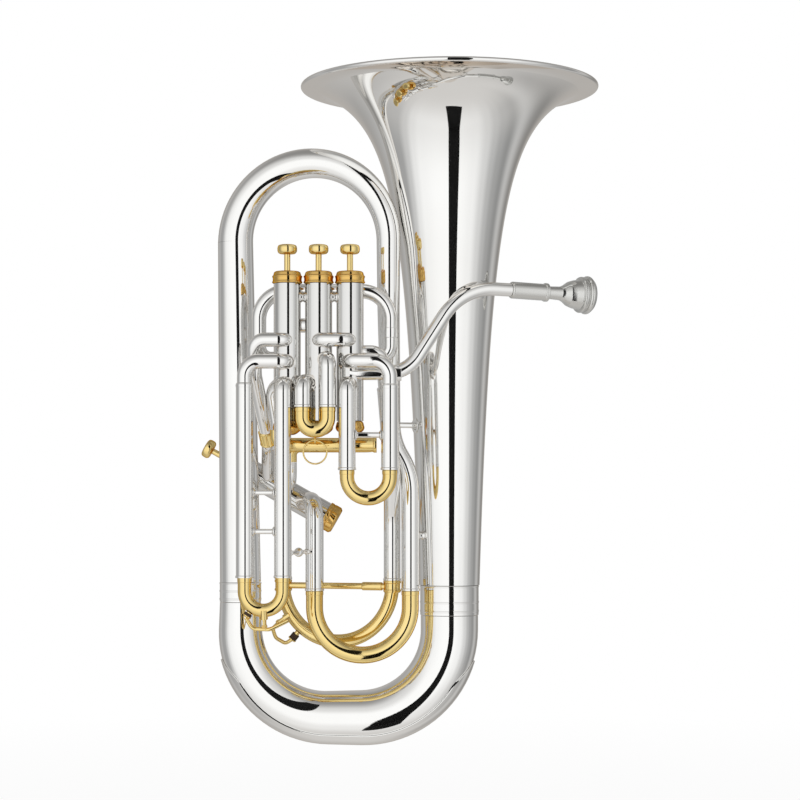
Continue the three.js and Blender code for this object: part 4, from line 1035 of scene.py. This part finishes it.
def plated(name, bright, deep, edge, roughness, grain):
    """Polished plate: a faint drift of tone, a tint towards the edges, a cloudy sheen and polishing lines."""
    material, tree, shader = fresh_material(name)
    place = node(tree, "TexCoord").outputs["Object"]
    drift = noise(tree, place, scale=9, detail=3, roughness=0.5)
    cloud = noise(tree, place, scale=55, detail=4, roughness=0.6)
    lines = noise(tree, place, scale=900, detail=2, roughness=0.5)
    tone = colour_ramp(tree, drift, [(0.3, deep), (0.7, bright)])
    sheen = node(tree, "MapRange", Value=cloud, To_Min=roughness * 0.7, To_Max=roughness * 1.4)
    bump = node(tree, "Bump", Height=lines, Strength=grain, Distance=0.00002)
    fill(shader, Metallic=1, Specular_Tint=(*edge, 1), Base_Color=tone)
    fill(shader, Roughness=sheen.outputs["Result"], Normal=bump.outputs["Normal"])
    return material


def cork_material():
    material, tree, shader = fresh_material("cork_pad")
    grain = noise(tree, node(tree, "TexCoord").outputs["Object"], scale=700, detail=5, roughness=0.6)
    tone = colour_ramp(tree, grain, [(0, (0.012, 0.008, 0.006)), (1, (0.09, 0.05, 0.03))])
    bump = node(tree, "Bump", Height=grain, Strength=0.6, Distance=0.0002)
    fill(shader, Base_Color=tone, Roughness=0.85, Normal=bump.outputs["Normal"])
    return material


EDGE_TINT = (0.93, 0.88, 0.83)
SILVER = plated("silver_plate", (0.94, 0.94, 0.93), (0.9, 0.895, 0.88), EDGE_TINT, 0.035, 0.05)
SOFT_SILVER = plated("soft_silver_plate", (0.73, 0.73, 0.71), (0.67, 0.67, 0.65), WHITE, 0.14, 0.08)
CASING_SILVER = plated("casing_plate", (0.8, 0.8, 0.79), (0.77, 0.765, 0.75), EDGE_TINT, 0.05, 0.06)
# The gold's deep orange edge tint darkens the reflection towards the tube edges: painted shade of the dim
# room mirrored there, where real gold turns paler at grazing angles.
GOLD = plated("gold_plate", (0.97, 0.78, 0.36), (0.91, 0.69, 0.28), (0.75, 0.45, 0.12), 0.06, 0.06)
# The caps get a darker, deeper orange copy of the gold plate with an even deeper edge tint: painted
# reflection of the gold parts around them and painted shade at their joins.
CAP_GOLD_PAINTED_SHADE = plated("cap_gold_painted_shade", (0.9, 0.6, 0.21), (0.8, 0.5, 0.15), (0.6, 0.32, 0.08), 0.08, 0.06)
CORK = cork_material()

BODY_OF = {node_name: obj["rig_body"] for node_name, obj in frame["nodes"].items()}


def placed(name, data):
    thing = bpy.data.objects.new(name, data)
    bpy.context.scene.collection.objects.link(thing)
    return thing


def mesh_object(name, points, faces, material):
    data = bpy.data.meshes.new(name)
    data.from_pydata([p * MM for p in points], [], faces)
    data.materials.append(material)
    return placed(name, data)


def show(name, mesh, material, node_name, stands_for=True):
    piece = mesh_object(name, *mesh, material)
    piece.data.polygons.foreach_set("use_smooth", [True] * len(piece.data.polygons))
    piece.data.set_sharp_from_angle(angle=SHARP_ANGLE)
    piece.data.validate()
    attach(piece, BODY_OF[node_name])
    if stands_for:
        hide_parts(node_name)


def stand_in(node_name, mesh, material=SILVER):
    show(f"{node_name}_skin", mesh, material, node_name)


# Pieces of the horn
SILVER_PIECES = {
    "bell": bell(),
    "bell_ferrule": ferrule(BELL_FERRULE, BELL_TAIL.z - GAP, BELL.x),
    "bottom_bow": tube(bow_corners(), bow_radius_at, BOTTOM_BOW_SIDES),
    "bow_guard": bow_guard(),
    "branch_ferrule": ferrule(BRANCH_FERRULE, BRANCH_FERRULE.top, BRANCH_FOOT_X),
    "outer_branch": outer_branch(),
    "top_bow": top_bow(),
    "inner_branch": inner_branch(),
    "main_slide_left_leg": side_valve_leg(MAIN_SLIDE, MAIN_SLIDE.left, MAIN_Y, MAIN_ELBOW),
    "first_slide_legs": slide_legs(1, FIRST_SLIDE, FIRST_PORTS, FIRST_SLIDE.left, FIRST_SLIDE.right),
    "second_slide_left_leg": second_slide_leg(SECOND_SLIDE.left, SECOND_PORTS.left),
    "second_slide_right_leg": second_slide_leg(SECOND_SLIDE.right, SECOND_PORTS.right),
    "third_slide_legs": slide_legs(3, THIRD_SLIDE, THIRD_PORTS, THIRD_SLIDE.right, THIRD_SLIDE.left),
    "fourth_slide_left_leg": side_valve_leg(FOURTH_SLIDE, FOURTH_LEFT.x, FOURTH_LEFT.y, FOURTH_ELBOW),
    "fourth_slide_right_leg": fourth_slide_right_leg(),
    "arch_tube": arch_tube(),
    "crossover_1_2": crossover(1, 2, CROSSOVER.front_y, CROSSOVER.front_z),
    "crossover_2_3": crossover(2, 3, CROSSOVER.rear_y, CROSSOVER.rear_z),
    "fourth_valve_inlet": fourth_valve_inlet(),
    "third_comp_bend": third_comp_bend(),
    "return_inlet": return_inlet(),
    "leadpipe": leadpipe(),
    "upper_bell_brace": bell_brace(BELL_BRACE),
    "lower_bell_brace": lower_bell_brace(),
    "leadpipe_brace": bell_brace(LEAD_BRACE),
    "casing_brace_1_2": casing_brace(1, 2),
    "casing_brace_2_3": casing_brace(2, 3),
    "ball_brace": ball_brace(),
}
GOLD_PIECES = {
    "main_slide_crook": main_slide_crook(),
    "first_slide_crook": slide_crook(FIRST_SLIDE),
    "second_slide_crook": second_slide_crook(),
    "second_slide_ring": pull_ring(),
    "return_crook": return_crook(),
}
for name, mesh in SILVER_PIECES.items():
    stand_in(name, mesh)
for name, mesh in GOLD_PIECES.items():
    stand_in(name, mesh, GOLD)

for number in (1, 2, 3, 4):
    length = SIDE_VALVE.length if number == 4 else CASING.length
    valve = {
        "casing": (casing(length), CASING_SILVER),
        # Top and bottom caps take the darker gold with painted reflection and shade.
        "top_cap": (top_cap(length), CAP_GOLD_PAINTED_SHADE),
        "bottom_cap": (bottom_cap() if number == 4 else round_bottom_cap(), CAP_GOLD_PAINTED_SHADE),
        "piston": (piston(length), GOLD),
        "button": (button(length), GOLD),
    }
    for name, (mesh, material) in valve.items():
        stand_in(f"valve_{number}_{name}", at_valve(number, mesh), material)

KEYED_CROOKS = {
    "third": (slide_crook(THIRD_SLIDE), third_key_plane(), THIRD_KEY),
    "fourth": (fourth_crook(), fourth_key_plane(), FOURTH_KEY),
}
for place, (crook, plane, key) in KEYED_CROOKS.items():
    stand_in(f"{place}_slide_crook", joined(crook, key_seat(plane, key)), GOLD)
    stand_in(f"{place}_water_key", water_key(plane, key), GOLD)
    show(f"{place}_key_cork", key_cork(plane, key), CORK, f"{place}_water_key", stands_for=False)

show("inlet_collar", inlet_collar(), GOLD, "fourth_valve_inlet", stands_for=False)
stand_in("receiver", receiver(), SOFT_SILVER)
stand_in("mouthpiece", mouthpiece(), SOFT_SILVER)


# Studio
def plain(name, colour):
    material, _, shader = fresh_material(name)
    fill(shader, Base_Color=(*colour, 1), Roughness=0.9)
    return material


def math_node(tree, operation, *values):
    made = node(tree, "Math")
    made.operation = operation
    for socket, value in zip(made.inputs, values):
        feed(socket, value)
    return made.outputs["Value"]


def mixed(tree, share, first, second):
    made = node(tree, "Mix")
    made.data_type = "RGBA"
    fill(made, Factor=share, A=first, B=second)
    return made.outputs["Result"]


def camera_sees(tree):
    return node(tree, "LightPath").outputs["Is Camera Ray"]


def pale_floor():
    """A pale floor that takes the shadow and looks close to white to the camera."""
    material = plain("floor_paint", FLOOR.paint)
    tree = material.node_tree
    reach = node(tree, "VectorMath")
    reach.operation = "LENGTH"
    feed(reach.inputs[0], node(tree, "TexCoord").outputs["Object"])
    fade = node(tree, "MapRange", Value=reach.outputs["Value"])
    (near, far), (dim, full) = FLOOR.glow_reach, FLOOR.glow
    fill(fade, From_Min=near, From_Max=far, To_Min=dim, To_Max=full)
    mix = node(tree, "MixShader", Fac=math_node(tree, "MULTIPLY", camera_sees(tree), fade.outputs["Result"]))
    feed(mix.inputs[1], tree.nodes["Principled BSDF"].outputs["BSDF"])
    feed(mix.inputs[2], node(tree, "Emission", Strength=1).outputs["Emission"])
    fill(tree.nodes["Material Output"], Surface=mix.outputs["Shader"])
    return material


def studio_sheet(name, corners, material):
    """A flat sheet of the studio, given by its corners."""
    sheet = mesh_object(name, [Vector(c) for c in corners], [tuple(range(len(corners)))], material)
    return sheet


def floor():
    half, z = FLOOR.half, FLOOR.z
    corners = [(-half, -half, z), (half, -half, z), (half, half, z), (-half, half, z)]
    studio_sheet("floor", corners, pale_floor()).visible_glossy = False


def dark_cloth():
    """The dark gap between the white panels: behind the camera and along the floor."""
    cloth = plain("dark_cloth", CLOTH_PAINT)
    (left, right), far, low, top = CLOTH.x, CLOTH.y, CLOTH.low, CLOTH.top
    upright = [(left, far, low), (right, far, low), (right, far, top), (left, far, top)]
    (near_left, near_right), near = CLOTH.near_x, CLOTH.near_y
    along = [(near_left, near, low), (left, far, low), (right, far, low), (near_right, near, low)]
    for name, corners in (("dark_cloth", upright), ("dark_floor_cloth", along)):
        sheet = studio_sheet(name, corners, cloth)
        sheet.visible_camera = False
        sheet.visible_diffuse = False
        sheet.visible_shadow = False


def room_ramp(tree, share, stops, tint=NEUTRAL):
    tinted = [(place, [grey * part for part in tint]) for place, grey in stops]
    return colour_ramp(tree, share, tinted, "EASE")


def white_room():
    """White panels in front that fall off to grey at the sides, seen by light and reflections only."""
    world = bpy.context.scene.world = bpy.data.worlds.new("studio")
    world.use_nodes = True
    tree = world.node_tree
    parts = node(tree, "SeparateXYZ", Vector=node(tree, "TexCoord").outputs["Generated"])
    x, y, z = (parts.outputs[axis] for axis in "XYZ")
    flat = math_node(tree, "SQRT", math_node(tree, "SUBTRACT", 1.0001, math_node(tree, "MULTIPLY", z, z)))
    share = math_node(tree, "MULTIPLY_ADD", math_node(tree, "DIVIDE", y, flat), -0.5, 0.5)
    across = math_node(tree, "MULTIPLY_ADD", math_node(tree, "DIVIDE", x, flat), ROOM_TURN, 0.5)
    across.node.use_clamp = True
    around = mixed(tree, across, room_ramp(tree, share, ROOM_LEFT), room_ramp(tree, share, ROOM_RIGHT))
    rise = math_node(tree, "MULTIPLY_ADD", z, 0.5, 0.5)
    poles, steep = room_ramp(tree, rise, ROOM_POLES, WARM), room_ramp(tree, rise, ROOM_SLOPE)
    seen = mixed(tree, camera_sees(tree), mixed(tree, steep, around, poles), (*WHITE, 1))
    fill(tree.nodes["Background"], Color=seen)


floor()
dark_cloth()
white_room()


def soft_light(name, centre, size, energy):
    data = bpy.data.lights.new(name, "AREA")
    data.size = size * MM
    data.energy = energy
    lamp = placed(name, data)
    lamp.location = Vector(centre) * MM
    lamp.rotation_mode = "QUATERNION"
    lamp.rotation_quaternion = (LIGHT_AIM - Vector(centre)).to_track_quat("-Z", "Y")
    lamp.visible_glossy = False


soft_light("key_light", (-1800, -1600, 2200), 1600, 30)
soft_light("fill_light", (2000, -1200, 1400), 1400, 18)

camera = placed("camera", bpy.data.cameras.new("camera"))
camera.data.sensor_width = CAMERA.sensor
camera.data.lens = CAMERA.distance / CAMERA.view_width * CAMERA.sensor
camera.data.shift_y = CAMERA.shift
camera.location = Vector((CAMERA.x, -CAMERA.distance, CAMERA.z)) * MM
camera.rotation_euler = (pi / 2, 0, 0)
bpy.context.scene.camera = camera
bpy.context.scene.view_settings.view_transform = "Standard"
